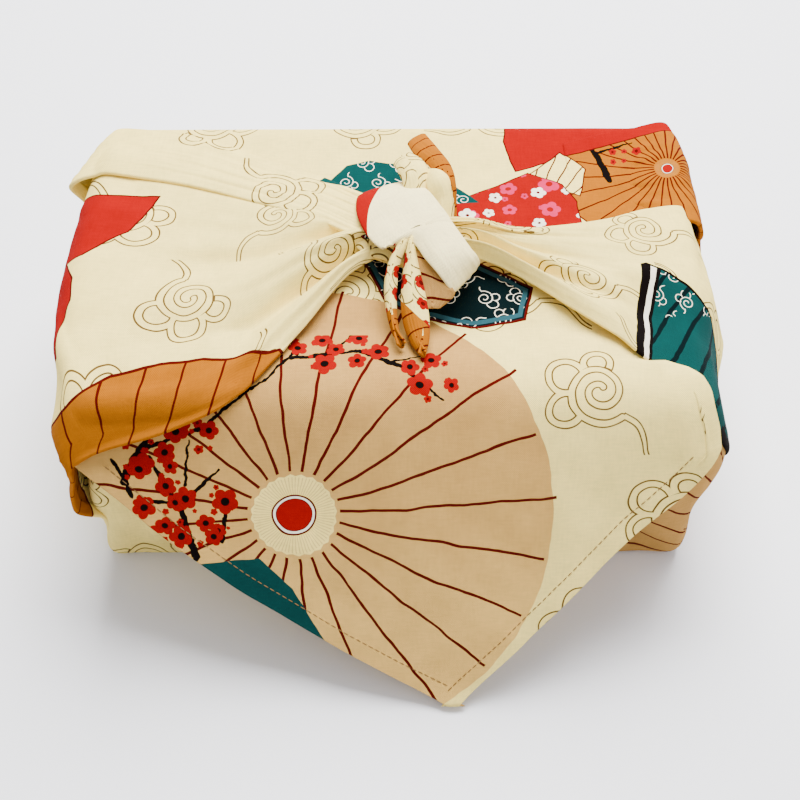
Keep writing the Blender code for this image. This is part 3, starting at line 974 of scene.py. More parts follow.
    def orange_parasol(self, sketch: Sketch, place: object, colour: object) -> object:
        """The small orange parasol at the right back corner, with a twig and buds over it."""
        orange = Parasol(
            centre=(101.0, 103.0),
            radius=42.0,
            fill=INK.orange,
            rim=0.6,
            ribs=30,
            rib_width=0.6,
            rib_from=5.0,
            rib_to=44.0,
            hub=5.0,
            hub_fill=INK.orange,
        )
        colour = orange.paint(sketch, place, colour)
        rough = sketch.wobble(place, 3.4, 2.4)
        for stroke in (Twig((78, 100), (72, 116), 3.2, 1.8), Twig((74, 112), (88, 117), 1.4, 0.6)):
            colour = sketch.paint(sketch.inside(stroke.distance(sketch, rough)), colour, INK.black)
        buds = Blossoms(pitch=4.6, size=(0.8, 2.0), heart=INK.dark_red, seed=23.0, rare=0.2)
        return buds.paint(sketch, place, colour, ((84.0, 112.0, 8.0, 5.0),))

    def flowered(self, sketch: Sketch, place: object, colour: object) -> object:
        """The red field with pale and pink blossoms."""
        corners = ((12, 84), (20, 64), (66, 66), (65, 88), (60, 97), (48, 103))
        fill: object = INK.red
        for blossoms in (
            Blossoms(6.3, (0.5, 1.6), INK.pink, INK.red, shift=(2.0, 1.0), seed=8.0, rare=0.6),
            Blossoms(13.5, (2.0, 5.0), INK.pink, INK.red, shift=(6.0, 5.0), seed=4.0, rare=0.2),
            Blossoms(14.5, (2.0, 3.3), INK.white, INK.dark_red, heart_share=0.2, seed=21.0),
        ):
            fill = blossoms.paint(sketch, place, fill)
        return Patch(corners, INK.red, INK.dark_red, 0.4).paint(sketch, place, colour, fill)

    def plain(self, name: str, clouds: CloudScroll) -> bpy.types.Material:
        """A part that shows the ground and its scrolls alone."""
        sketch, _, colour = self.start(name, clouds)
        return self.cotton.finish(sketch, colour)

    def left_wing(self) -> bpy.types.Material:
        """The left wing: scrolls, an orange band with ribs along its front edge and a red field."""
        sketch, place, colour = self.start("left_wing_print", CloudScroll(shift=(6.0, 26.0), seed=6.0))
        edge = sketch.wobble(sketch.edge, 15.0, 2.6)
        along, away = sketch.parts(edge)
        ribs = self.ribbed(sketch, away * 0.22 + along, 14.0, 0.9, (INK.orange, INK.dark_red))
        colour = Patch(ORANGE_BAND, INK.orange, INK.dark_red).paint(sketch, edge, colour, ribs)
        for corners in (RED_SIDE, RED_FIELD):
            colour = Patch(corners, INK.red, INK.dark_red, 0.6).paint(sketch, place, colour)
        return self.cotton.finish(sketch, colour)

    def right_wing(self) -> bpy.types.Material:
        """The right wing: scrolls, then a teal field with stripes and a black and white border, and painted
        shade in black along its front edge low on the end, where it runs behind the flap.
        """
        sketch, place, colour = self.start("right_wing_print", CloudScroll(shift=(24.0, 30.0), seed=8.0))
        x, y = sketch.parts(place)
        teal = Patch(((69.8, -60), (180, -60), (180, -40), (81, 10), (79.5, 9)), INK.teal)
        distance = teal.distance(sketch, place)
        fill = self.ribbed(sketch, y * -0.47 + x, 10.0, 1.7, (INK.teal, INK.deep_teal))
        clear = x * -0.5 + y > -58.0
        fill = sketch.paint(self.waves.mask(sketch, place) * clear, fill, INK.white)
        colour = sketch.paint(sketch.inside(distance), colour, fill)
        side = y * -0.14 + (x - 78.2)
        for offset, width, ink in ((1.4, 3.4, INK.black), (4.0, 2.2, INK.white), (5.7, 1.4, INK.black)):
            line = sketch.line(side - offset, width)
            colour = sketch.paint(line * sketch.inside(distance), colour, ink)
        # Painted shade: the hem strip is black where the wing's front edge runs behind the flap low on the
        # bundle's end.
        hem = sketch.inside(sketch.parts(sketch.edge)[1] - 3.0)
        colour = sketch.paint((x > 111.0) * hem, colour, INK.black)
        colour = sketch.paint(sketch.line(distance, 1.2), colour, INK.black)
        return self.cotton.finish(sketch, colour)

    def bundle(self) -> bpy.types.Material:
        """The wrapped sides: scrolls, and beige with dark ribs low at the right."""
        sketch, place, colour = self.start("bundle_print", CloudScroll(shift=(9.0, 20.0), seed=14.0))
        parasol = Parasol(
            centre=(150.0, -12.0),
            radius=104.0,
            fill=INK.beige,
            ribs=50,
            rib_width=0.8,
            rib_from=10.0,
            rib_to=96.0,
            hub=0.0,
        )
        return self.cotton.finish(sketch, parasol.paint(sketch, place, colour))

    def band(self) -> bpy.types.Material:
        """The knot's band: the cloth's plain side, with red print at its far end."""
        sketch, place, _ = self.start("knot_band_cloth")
        along, away = sketch.parts(sketch.edge)
        shadow = CloudScroll(shift=(7.0, 20.0), seed=17.0).mask(sketch, place)
        colour = sketch.paint(shadow * 0.05, INK.reverse, INK.gold)
        colour = sketch.paint(sketch.inside(away, along * 0.42 - 20.0), colour, INK.red)
        return self.cotton.finish(sketch, colour)

    def tail(self, name: str, tip: Pair, dots: float, ribs: float = 6.2) -> bpy.types.Material:
        """A loose end: cream with red blossoms, and orange with ribs at its tip.

        Args:
            name: The material's name.
            tip: Within how many millimetres of the tip the orange shows, and how that leans across.
            dots: The share of blossoms left out, 1 for none at all.
            ribs: How far apart the ribs are.

        Returns:
            The material.
        """
        sketch, place, colour = self.start(name, CloudScroll(pitch=(34.0, 28.0), seed=19.0), wobble=1.4)
        if dots < 1.0:
            specks = Blossoms(pitch=7.5, size=(0.9, 3.0), heart=INK.dark_red, seed=12.0, rare=dots)
            colour = specks.paint(sketch, place, colour)
        length, width = sketch.parts(place)
        orange = self.ribbed(sketch, width * 0.3 + length, ribs, 0.6, (INK.orange, INK.dark_red))
        colour = sketch.paint(sketch.inside(width * tip[1] + length, tip[0]), colour, orange)
        return self.cotton.finish(sketch, colour)

    def under(self) -> bpy.types.Material:
        """The layer that shows under the band: beige with dark ribs."""
        sketch, place, _ = self.start("under_print")
        length, width = sketch.parts(place)
        colour = self.ribbed(sketch, width * 0.15 + length, 7.0, 0.9, (INK.beige, INK.dark_red))
        return self.cotton.finish(sketch, colour)

    def thread(self) -> bpy.types.Material:
        """The hem's sewing thread."""
        dark = (*(part * 0.55 for part in INK.thread[:3]), 1.0)
        return drifting("hem_thread", 900.0, (dark, INK.thread), 0.6)


def drifting(name: str, scale: float, tones: Sequence[Colour], roughness: float) -> bpy.types.Material:
    """A plain finish that drifts between two tones, at a noise scale in its object's own metres."""
    material = bpy.data.materials.new(name)
    material.use_nodes = True
    tree = material.node_tree
    shader = tree.nodes["Principled BSDF"]
    coordinates = tree.nodes.new("ShaderNodeTexCoord")
    noise = tree.nodes.new("ShaderNodeTexNoise")
    noise.inputs["Scale"].default_value = scale
    ramp = tree.nodes.new("ShaderNodeValToRGB")
    for element, tone in zip(ramp.color_ramp.elements, tones):
        element.color = tone
    tree.links.new(coordinates.outputs["Object"], noise.inputs["Vector"])
    tree.links.new(noise.outputs[0], ramp.inputs[0])
    tree.links.new(ramp.outputs[0], shader.inputs["Base Color"])
    shader.inputs["Roughness"].default_value = roughness
    return material


SPRAY_TWIGS = (
    ((-88, -26), (-76, -6), 2.6, 1.7),
    ((-76, -6), (-74, 10), 1.7, 0.7),
    ((-81, -15), (-62, -8), 1.8, 1.2),
    ((-62, -8), (-42, 8), 1.1, 0.8),
    ((-42, 8), (-31, 21), 1.0, 1.4),
    ((-34, 16), (-12, 19), 1.8, 1.3),
    ((-12, 19), (4, 11), 1.7, 1.2),
    ((4, 11), (15, 0), 1.4, 0.6),
    ((-32, 18), (-36, 36), 1.8, 1.0),
    ((-66, -52), (-70, -36), 2.8, 2.2),
    ((-70, -36), (-79, -18), 2.2, 1.4),
    ((-71, -35), (-57, -22), 1.8, 0.9),
    ((-57, -47), (-54, -31), 1.8, 0.8),
    ((-84, -33), (-70, -33), 1.6, 1.0),
    ((-68, -27), (-66, -12), 1.2, 0.5),
    ((-20, 18), (-14, 28), 1.1, 0.5),
    ((-2, 14), (10, 17), 1.1, 0.5),
    ((-90, -18), (-86, -30), 0.9, 1.6),
)
SPRAY_SPOTS = ((-69, -37, 17, 13), (-80, -20, 9, 12), (-21, 19, 18, 8), (11, 7, 9, 9), (-64, -10, 8, 6))
KNOT_FIELD = ((-12, 63), (-3, 40), (8, 34.5), (25, 30.5), (43, 33), (46, 47), (10, 70))
ORANGE_BAND = (
    *((34, -12), (165, -12), (171, -5), (172, 3), (166, 9.5), (150, 14)),
    *((115, 21.5), (97, 25), (82, 24.5), (67, 21), (52, 13), (40, 2)),
)
RED_FIELD = ((99, 27), (110, 15), (122, 10), (150, 10), (154, 26), (146, 42), (93, 46.5))
RED_SIDE = (
    *((116, -26), (128, -28), (143, -16), (150, 0), (150, 12)),
    *((116, 12), (111.5, 4), (110.5, -6), (112.5, -16)),
)


@dataclass
class Bundle:
    """The wrapped box's own cloth, filled tight: its walls and foot show below the wings and the flap."""

    box: WrappedBox
    cuts: int = 60
    fold_depth: float = 0.0036
    fold_pitch: float = 0.027
    grooves: Rows = ((1.0, 0.094, 0.16, 0.0045), (0.7, 0.078, 0.5, 0.004))
    sink: float = 0.0014

    def build(self, prints: Prints) -> bpy.types.Object:
        """Models the filled form from a cube, with soft folds low on its walls."""
        made = add_object(bpy.ops.mesh.primitive_cube_add, "wrapped_bundle", size=2.0)
        bpy.ops.object.mode_set(mode="EDIT")
        bpy.ops.mesh.select_all(action="SELECT")
        bpy.ops.mesh.subdivide(number_cuts=self.cuts)
        bpy.ops.object.mode_set(mode="OBJECT")
        mesh = made.data
        share = read_back(mesh.vertices, "co", 3)
        eased = np.sin(share * math.pi / 2) * 0.5 + share * 0.5
        size = np.array([self.box.width, self.box.depth, self.box.height])
        rough = eased * size / 2 + [0.0, 0.0, self.box.height / 2]
        _, out, _ = self.box.core(rough)
        placed, _ = self.box.seat(rough, 0.0)
        inward = self.folds(placed) + self.sink * smooth(0.055, 0.072, placed[:, 2])
        placed = placed - out * inward[:, None]
        placed = SLUMP.move(placed, True)
        placed[:, 2] = np.maximum(placed[:, 2], 0.0)
        place_points(mesh, placed)
        self.lay_out(mesh, placed)
        mesh.shade_smooth()
        mesh.materials.append(prints.bundle())
        settle(made)
        LOG.info("wrapped_bundle: %d faces", len(mesh.polygons))
        return made

    def folds(self, points: Array) -> Array:
        """How far the wall's folds draw the cloth in at each point."""
        x, y, z = points.T
        front = smooth(-0.050, -0.064, y)
        low = smooth(0.072, 0.040, z) * smooth(0.0, 0.010, z)
        lean = np.abs(x) + np.where(x < 0, 0.55, 0.30) * z
        drift = 0.4 + 0.8 * ripple(x / 0.05, z / 0.05, 77, 3)
        wave = 0.5 + 0.5 * np.sin(lean * FULL_TURN / self.fold_pitch + drift)
        groove = sum(
            deep * np.exp(-(((x + foot - slope * z) / width) ** 2))
            for deep, foot, slope, width in self.grooves
        )
        depth = (wave**1.5 + 1.1 * groove) * front * smooth(0.020, 0.060, np.abs(x))
        soft = 0.5 + 0.5 * ripple(x / 0.06 + y / 0.05, z / 0.05, 31)
        return low * (depth * self.fold_depth + soft * (1.0 - front) * self.fold_depth * 0.5)

    def lay_out(self, mesh: bpy.types.Mesh, points: Array) -> None:
        """Gives each face its place in the print, wall by wall."""
        corners = read_back(mesh.loops, "vertex_index", kind=np.int32)
        normals = read_back(mesh.polygons, "normal", 3)
        totals = read_back(mesh.polygons, "loop_total", kind=np.int32)
        facing = np.repeat(np.abs(normals).argmax(axis=1), totals)
        x, y, z = points[corners].T
        around = np.where(facing == 0, x + y + self.box.depth / 2, x)
        up = np.where(facing == 2, y, z)
        places = np.stack([around, up], axis=1)
        write_maps(mesh, places, places)


@dataclass
class TopCloth:
    """One sheet from the foot of the back wall, over the top and down the front to the flap's tip."""

    box: WrappedBox
    ramp: Ramp
    rows: int = 230
    columns: int = 130
    roll_columns: int = 14
    lift: float = 0.0009
    hem_radius: float = 0.00050
    hem_width: float = 0.0062
    hem_raise: float = 0.00035
    wrap: float = 0.014
    foot: float = 0.004
    front_start: float = -0.0357
    right_hem: Pair = (0.1042, 0.0165)
    right_fold: tuple[Pair, ...] = (
        (-0.0150, 0.0885),
        (-0.0115, 0.0965),
        (-0.0080, 0.1002),
        (-0.0025, 0.1030),
        (0.0030, 0.1044),
        (0.0100, 0.1050),
        (0.0165, 0.1042),
    )
    corner_x: float = 0.0985
    corner_radius: float = 0.0100
    print_split: float = -0.0367
    thickness: float = 0.0006
    swell: float = 0.0016
    swell_across: Pair = (0.086, 0.096)
    swell_down: tuple[Pair, Pair] = ((-0.014, -0.007), (0.034, 0.016))
    dip: float = 0.0019
    dip_across: Pair = (0.072, 0.080)
    dip_down: tuple[Pair, Pair] = ((-0.0142, -0.0168), (-0.076, -0.068))

    def path(self) -> tuple[Array, Array]:
        """The sheet's side view: (y, z) row by row, and how far each row is up from the front edge."""
        low, high = self.foot, self.box.height
        radius = self.box.edge_radius + self.lift
        back = self.box.depth / 2
        wall = np.stack([np.full(30, back), np.linspace(low, high - self.box.edge_radius, 30)], axis=1)
        middle = np.maximum(0.0, 1.0 - (2.0 * wall[:, 1] / high - 1.0) ** 2)
        wall[:, 0] += self.lift + self.box.side_bulge * middle
        turn = np.linspace(0, math.pi / 2, 14)[1:-1]
        centre = np.array([back - self.box.edge_radius, high - self.box.edge_radius])
        bend = centre + radius * np.stack([np.cos(turn), np.sin(turn)], axis=1)
        top_y = np.linspace(back - self.box.edge_radius, -0.026, 50)
        crown = self.box.top_crown * smooth(0.066, 0.0, np.abs(top_y))
        top = np.stack([top_y, high + self.lift + crown], axis=1)
        front = self.ramp.side(np.linspace(self.front_start + 0.006, self.ramp.tip_drop, 200))
        line = np.concatenate([wall, bend, top, front])
        along = run_length(line)
        up = along[-1] - along - self.ramp.tip_drop
        place = np.linspace(0, 1, self.rows) * along[-1]
        side = np.stack([np.interp(place, along, line[:, k]) for k in range(2)], axis=1)
        side[1:-1] = (side[:-2] + 2 * side[1:-1] + side[2:]) / 4
        return side, np.interp(place, along, up)

    def build(self, prints: Prints) -> None:
        """Models the sheet, its hem and its stitches."""
        side, up = self.path()
        drop = -up
        out = self.ramp.out(side)
        ramp = Ramp(right_hem=self.right_hem)
        on_flap = {Side.LEFT: smooth(-0.012, 0.004, drop), Side.RIGHT: smooth(-0.0200, -0.0150, drop)}
        straight = self.box.width / 2 - self.box.edge_radius
        left = ramp.hem(drop, Side.LEFT) * on_flap[Side.LEFT] - straight * (1 - on_flap[Side.LEFT])
        turned = np.interp(drop, *np.array(self.right_fold).T)
        right = np.where(drop < self.right_hem[1], turned, ramp.hem(drop, Side.RIGHT))
        right = right * on_flap[Side.RIGHT] + straight * (1 - on_flap[Side.RIGHT])
        share = np.linspace(0, 1, self.columns)
        x = left[:, None] + (right - left)[:, None] * share
        inset = self.inset(x, left, right, drop)
        main = self.surface(x, side, out, drop, inset)
        normal = facing(main, np.array([0.0, 0.0, 0.044]))
        beyond = self.beyond()
        rolls = [self.roll(main, normal, on_flap[end], end) for end in Side]
        points = np.concatenate([rolls[0], main, rolls[1]], axis=1)
        points = SLUMP.move(points, False)
        points[:, :, 2] = np.maximum(points[:, :, 2], 0.0004)
        u = np.concatenate([left[:, None] - beyond[::-1], x, right[:, None] + beyond], axis=1)
        places = np.stack([u, np.repeat(up[:, None], u.shape[1], axis=1)], axis=2)
        points, places = points[:, ::-1], places[:, ::-1]
        sheet = Sheet("top_and_flap", points, places, places, self.thickness, Held.DRAPED)
        self.dress(sheet.build(), prints)
        lines = [SLUMP.move(self.seam(main, inset, drop, end), False) for end in Side]
        Stitching().build(lines, prints)

    def inset(self, x: Array, left: Array, right: Array, drop: Array) -> tuple[Array, Array]:
        """How far each point is in from the left and the right hem."""
        slopes = (np.gradient(edge, drop) for edge in (left, right))
        from_left, from_right = (np.sqrt(1.0 + np.minimum(slope**2, 9.0))[:, None] for slope in slopes)
        return (x - left[:, None]) / from_left, (right[:, None] - x) / from_right

    def surface(self, x: Array, side: Array, out: Array, drop: Array, inset: tuple) -> Array:
        """The sheet's outer face, with its doubled hem and the soft waves that the flap hangs in."""
        tip = self.ramp.tip_drop
        hang = (smooth(0.0, 0.045, drop) * smooth(tip, tip - 0.03, drop))[:, None]
        wave = np.sin(x / 0.210 * math.pi * 3.0 + 0.6) * 0.0013
        slack = ripple(x / 0.075, drop[:, None] / 0.060, 5) * 0.0012
        fine = ripple(x / 0.030, drop[:, None] / 0.024, 6) * 0.00030
        calm = smooth(-0.075, -0.045, drop)[:, None] * 0.4 + 0.15
        sewn = [
            smooth(self.hem_width + self.thickness, self.hem_width - self.thickness, depth)
            * smooth(start - 0.003, start, drop)[:, None]
            for depth, start in zip(inset, (self.ramp.left_hem[1], self.right_hem[1]))
        ]
        hem = np.maximum(*sewn)
        push = (wave + slack) * hang + fine * (hang * 0.9 + calm * 0.5) + hem * self.hem_raise
        down = drop[:, None]
        for height, across, (upper, lower) in (
            (self.swell, self.swell_across, self.swell_down),
            (-self.dip, self.dip_across, self.dip_down),
        ):
            push = push + height * smooth(*across, x) * smooth(*upper, down) * smooth(*lower, down)
        y = side[:, 0, None] + out[:, 0, None] * push
        z = side[:, 1, None] + out[:, 1, None] * push
        past = np.maximum(x - self.corner_x, 0.0)
        turn = past / self.corner_radius
        bend = smooth(-0.018, -0.010, drop)[:, None]
        moved_x = x + bend * (self.corner_radius * np.sin(turn) - past)
        moved_y = y + bend * self.corner_radius * (1 - np.cos(turn))
        return np.stack([moved_x, moved_y, z], axis=2)

    def beyond(self) -> Array:
        """How far the extra columns lie past the edge of the flat part, in metres of cloth."""
        near = np.linspace(0, math.pi * self.hem_radius, self.roll_columns // 2 + 1)[1:]
        far = np.linspace(near[-1], self.wrap, self.roll_columns - len(near) + 1)[1:]
        return np.concatenate([near, far])

    def roll(self, main: Array, normal: Array, on_flap: Array, end: Side) -> Array:
        """The extra columns: a hem folded under the flap, and a wrap round the bundle's end."""
        index, inner = (0, 1) if end is Side.LEFT else (-1, -2)
        edge = main[:, index]
        up = normal[:, index]
        across = unit(edge - main[:, inner])
        beyond = self.beyond()
        hem_turn = np.minimum(beyond / self.hem_radius, math.pi)
        past = np.maximum(beyond - math.pi * self.hem_radius, 0.0) * (self.hem_width / self.wrap)
        hem = (
            across[:, None] * (self.hem_radius * np.sin(hem_turn) - past)[None, :, None]
            - up[:, None] * (self.hem_radius * (1 - np.cos(hem_turn)))[None, :, None]
        )
        radius = self.box.edge_radius + self.lift
        turn = np.minimum(beyond / radius, math.pi / 2)
        down = np.maximum(beyond - radius * math.pi / 2, 0.0)
        sideways = np.zeros((len(edge), 3))
        sideways[:, 0] = end.value
        wrapped = (
            sideways[:, None] * (radius * np.sin(turn))[None, :, None]
            - up[:, None] * (radius * (1 - np.cos(turn)) + down)[None, :, None]
        )
        share = on_flap[:, None, None]
        rolled = edge[:, None] + hem * share + wrapped * (1 - share)
        return rolled[:, ::-1] if end is Side.LEFT else rolled

    def dress(self, made: bpy.types.Object, prints: Prints) -> None:
        """Prints the flap and the top, face by face."""
        made.data.materials.append(prints.top())
        made.data.materials.append(prints.flap())
        mesh = made.data
        flap = (read_back(mesh.polygons, "center", 3)[:, 1] < self.print_split).astype(np.int32)
        mesh.polygons.foreach_set("material_index", flap)
        mesh.update()

    def seam(self, main: Array, inset: tuple, drop: Array, end: Side) -> Array:
        """The line on the cloth that a hem is sewn along."""
        depth = inset[0] if end is Side.LEFT else inset[1][:, ::-1]
        rows = main if end is Side.LEFT else main[:, ::-1]
        start = (self.ramp.left_hem if end is Side.LEFT else self.right_hem)[1]
        line = []
        for index in np.where(drop > start + 0.001)[0]:
            if depth[index].max() > self.hem_width * 1.2:
                line.append([np.interp(self.hem_width, depth[index], rows[index, :, k]) for k in range(3)])
        return np.array(line)


@dataclass
class Stitching:
    """A row of short stitches along a line on the cloth."""

    pitch: float = 0.0024
    length: float = 0.0020
    radius: float = 0.00019
    proud: float = 0.00009
    look_ahead: float = 0.0008

    def build(self, lines: Sequence[Array], prints: Prints) -> bpy.types.Object:
        """One stitch is modelled, then copied to its places, and all are joined.

        Args:
            lines: Points on the cloth's outer face, line by line.
            prints: Where the thread's finish comes from.

        Returns:
            The stitches as one piece.
        """
        ball = {"segments": 8, "ring_count": 6, "radius": 1.0}
        pattern = add_object(bpy.ops.mesh.primitive_uv_sphere_add, "hem_stitches", **ball)
        shape = read_back(pattern.data.vertices, "co", 3) * [self.length / 2, self.radius, self.radius]
        copies = [place for line in lines for place in self.places(line)]
        made = [pattern] + [pattern.copy() for _ in copies[1:]]
        for item, (centre, ahead, up) in zip(made, copies):
            if item is not pattern:
                item.data = pattern.data.copy()
                bpy.context.scene.collection.objects.link(item)
            place_points(item.data, centre + shape @ np.stack([ahead, np.cross(up, ahead), up]))
        bpy.ops.object.select_all(action="DESELECT")
        for item in made:
            item.select_set(True)
        bpy.context.view_layer.objects.active = pattern
        bpy.ops.object.join()
        pattern.data.name = pattern.name
        pattern.data.shade_smooth()
        pattern.data.materials.clear()
        pattern.data.materials.append(prints.thread())
        settle(pattern)
        LOG.info("hem_stitches: %d stitches", len(copies))
        return pattern

    def places(self, line: Array) -> list[tuple[Array, Array, Array]]:
        """The centre, run and outward direction of each stitch on a line."""
        along = run_length(line)
        slope = np.array([0.0, -0.8, 0.6])
        found = []
        for at in np.arange(self.pitch / 2, along[-1] - self.pitch, self.pitch):
            here, ahead = (
                np.array([np.interp(at + step, along, line[:, k]) for k in range(3)])
                for step in (0.0, self.look_ahead)
            )
            run = unit(ahead - here)
            up = unit(slope - run * (slope @ run))
            found.append((here + up * self.proud, run, up))
        return found


@dataclass(frozen=True)
class Fold:
    """A fold that runs out from the knot; shares go across from the wing's back edge, and out to its foot."""

    at_knot: float
    at_end: float
    reach: float
    height: float
    width: float


@dataclass(frozen=True)
class Section:
    """One cross-section of a panel, from its back edge to its front edge, in millimetres."""

    back: Triple
    front: Triple
    crown: float


@dataclass
class Panel:
    """A piece of the cloth between two edges, given by a few cross-sections, its edges turned under."""

    name: str
    sections: tuple[Section, ...]
    material: bpy.types.Material
    folds: tuple[Fold, ...] = ()
    rows: int = 80
    columns: int = 40
    crown_power: float = 3.0
    roll_radius: float = 0.0007
    tuck: float = 0.0026
    rolled: tuple[bool, bool] = (True, True)
    print_width: float = 0.0
    wrinkle: float = 0.0002
    seed: int = 1
    thickness: float = 0.0006
    heart: Triple = (0.006, 0.0, 0.070)
    held: Held = Held.FOLDED

    def build(self) -> bpy.types.Object:
        """Models the panel as a sheet."""
        along = np.linspace(0, 1, self.rows)
        across = np.linspace(0, 1, self.columns)
        back = spline([[c * MM for c in s.back] for s in self.sections], along)
        front = spline([[c * MM for c in s.front] for s in self.sections], along)
        crown = spline([[s.crown * MM] for s in self.sections], along)
        flat = back[:, None] + (front - back)[:, None] * across[None, :, None]
        shares, lengths = np.meshgrid(across, along)
        raised = crown * (1 - np.abs(2 * shares - 1) ** self.crown_power)
        raised = raised + self.folded(shares, lengths) + self.wrinkles(shares, lengths)
        grid = self.lay(flat, raised, shares, lengths)
        grid[:, :, 2] = np.maximum(grid[:, :, 2], 0.0010)
        return self.finish(grid, across)

    def lay(self, flat: Array, raised: Array, shares: Array, lengths: Array) -> Array:
        """The panel's outer face: its sections, raised by its crown and folds."""
        return flat + facing(flat, np.array(self.heart)) * raised[:, :, None]

    def folded(self, across: Array, along: Array) -> Array:
        """How far the folds raise the cloth."""
        total = np.zeros_like(across)
        for fold in self.folds:
            share = np.clip((1.0 - along) / fold.reach, 0.0, 1.0)
            at = fold.at_knot + (fold.at_end - fold.at_knot) * share
            total += fold.height * MM * np.exp(-(((across - at) / fold.width) ** 2)) * (1.0 - share) ** 0.8
        return total

    def wrinkles(self, across: Array, along: Array) -> Array:
        """Small creases that run with the pull, strongest near the knot."""
        pull = smooth(0.45, 0.95, along) * 0.8 + 0.3
        edge = np.minimum(across, 1 - across)
        lines = ripple(across * 5.5, along * 1.6, self.seed)
        lines = lines + 0.4 * ripple(across * 12.0, along * 3.0, self.seed + 9)
        return lines * self.wrinkle * pull * smooth(0.0, 0.12, edge)

    def finish(self, grid: Array, across: Array) -> bpy.types.Object:
        """Rolls the edges under, lays out the print and builds the sheet."""
        normal = facing(grid, np.array(self.heart))
        steps = np.linalg.norm(np.diff(grid, axis=0), axis=2).mean(axis=1)
        length = np.concatenate([[0], np.cumsum(steps)])
        length = length[-1] - length
        width = np.linalg.norm(np.diff(grid, axis=1), axis=2).sum(axis=1)
        shown = 0.45 * width + 0.55 * self.print_width if self.print_width else width
        u = np.repeat(length[:, None], self.columns, axis=1)
        edge_v = (1.0 - across)[None, :] * width[:, None]
        places = self.print_places(grid, np.stack([u, (0.5 - across)[None, :] * shown[:, None]], axis=2))
        parts, maps, edges = [grid], [places], [np.stack([u, edge_v], axis=2)]
        for first, index, inner in ((True, 0, 2), (False, -1, -3)):
            if not self.rolled[0 if first else 1]:
                continue
            rolled, away = self.roll(grid[:, index], grid[:, inner], normal[:, index])
            step = np.stack([np.zeros_like(away), away if first else -away], axis=1)
            pieces = [rolled, *(group[index][:, [index]] + step for group in (maps, edges))]
            if first:
                pieces = [piece[:, ::-1] for piece in pieces]
            place = 0 if first else len(parts)
            for group, piece in zip((parts, maps, edges), pieces):
                group.insert(place, piece)
        points, places, edge_places = (np.concatenate(group, axis=1) for group in (parts, maps, edges))
        points = SLUMP.move(points, True)
        points[:, :, 2] = np.maximum(points[:, :, 2], 0.0008)
        run, span = grid[1:, :-1] - grid[:-1, :-1], grid[:-1, 1:] - grid[:-1, :-1]
        if (np.cross(span, run) * normal[:-1, :-1]).sum() < 0:
            points, places, edge_places = points[:, ::-1], places[:, ::-1], edge_places[:, ::-1]
        made = Sheet(self.name, points, places, edge_places, self.thickness, self.held).build()
        made.data.materials.append(self.material)
        return made

    def print_places(self, grid: Array, places: Array) -> Array:
        """Where each point lies in the print."""
        return places

    def roll(self, edge: Array, inner: Array, normal: Array) -> tuple[Array, Array]:
        """The edge turned under in a half circle and tucked back, and how far its columns lie past it."""
        outward = edge - inner
        outward = unit(outward - normal * (outward * normal).sum(axis=1, keepdims=True))
        turn = np.linspace(0, math.pi, 9)[1:]
        tuck = np.linspace(0, self.tuck, 5)[1:]
        r = self.roll_radius
        sideways = np.concatenate([r * np.sin(turn), -tuck])
        down = np.concatenate([r * (1 - np.cos(turn)), np.full(4, 2 * r)])
        rolled = edge[:, None] + outward[:, None] * sideways[None, :, None]
        rolled = rolled - normal[:, None] * down[None, :, None]
        return rolled, np.concatenate([r * turn, r * math.pi + tuck])


@dataclass
class Wing(Panel):
    """A side corner of the cloth, pulled up the bundle's end and over its top to the knot."""

    box: WrappedBox = field(default_factory=WrappedBox)
    ramp: Ramp = field(default_factory=Ramp)
    rows: int = 150
    columns: int = 84
    crown_power: float = 2.0
    lift: float = 0.0024
    back_lift: float = 0.0024
    end_lift: float = 0.0030
    foot: Pair = (0.018, 0.040)
    foot_lift: float = -0.0030
    tucked: Pair | None = None
    tucked_lift: float = 0.0009
    heart: Triple = (0.0, 0.0, 0.044)
    wrinkle: float = 0.0007
    tuck: float = 0.0045
    roll_radius: float = 0.0008
    held: Held = Held.STRETCHED

    def lay(self, flat: Array, raised: Array, shares: Array, lengths: Array) -> Array:
        """The wing's outer face over the box and the flap, tight at its foot and where it is tucked in."""
        points = flat.reshape(-1, 3)
        across, along = shares.ravel(), lengths.ravel()
        lift = self.back_lift + (self.lift - self.back_lift) * smooth(0.0, 0.9, across)
        lift = lift + (self.end_lift - self.lift) * smooth(0.5, 1.0, along)
        foot = smooth(self.foot[1], self.foot[0], points[:, 2])
        tucked = np.zeros_like(foot)
        if self.tucked is not None:
            tucked = smooth(self.tucked[1], self.tucked[0], along) * smooth(0.42, 0.68, across)
        _, out, _ = self.box.core(points)
        loose = self.box.over(points, lift) + out * raised.reshape(-1, 1)
        loose = self.ramp.over(loose, lift)
        held_in = np.maximum(foot, tucked)
        level = (self.foot_lift * foot + self.tucked_lift * tucked) / (foot + tucked + 1e-9)
        loose = self.box.over(loose, 0.0013 - 0.0040 * held_in)
        tight, _ = self.box.seat(points, level)
        return (loose + (tight - loose) * held_in[:, None]).reshape(flat.shape)


@dataclass
class Overlap(Wing):
    """A fold of the top cloth itself, so its print runs on from the top."""

    columns: int = 50
    rolled: tuple[bool, bool] = (False, True)
    back_lift: float = -0.0004

    def print_places(self, grid: Array, places: Array) -> Array:
        """The top's print, run on over the bundle's end."""
        x, y, z = np.moveaxis(grid, 2, 0)
        below = np.maximum(self.box.height - z, 0.0)
        return np.stack([x + np.sign(x) * below, y + 0.0637], axis=2)


def sections(*rows: Sequence[float]) -> tuple[Section, ...]:
    """Cross-sections from rows of their back edge, their front edge and their crown."""
    return tuple(Section(row[:3], row[3:6], row[6]) for row in rows)


def folds(*rows: Sequence[float]) -> tuple[Fold, ...]:
    """Folds from rows of their values."""
    return tuple(Fold(*row) for row in rows)


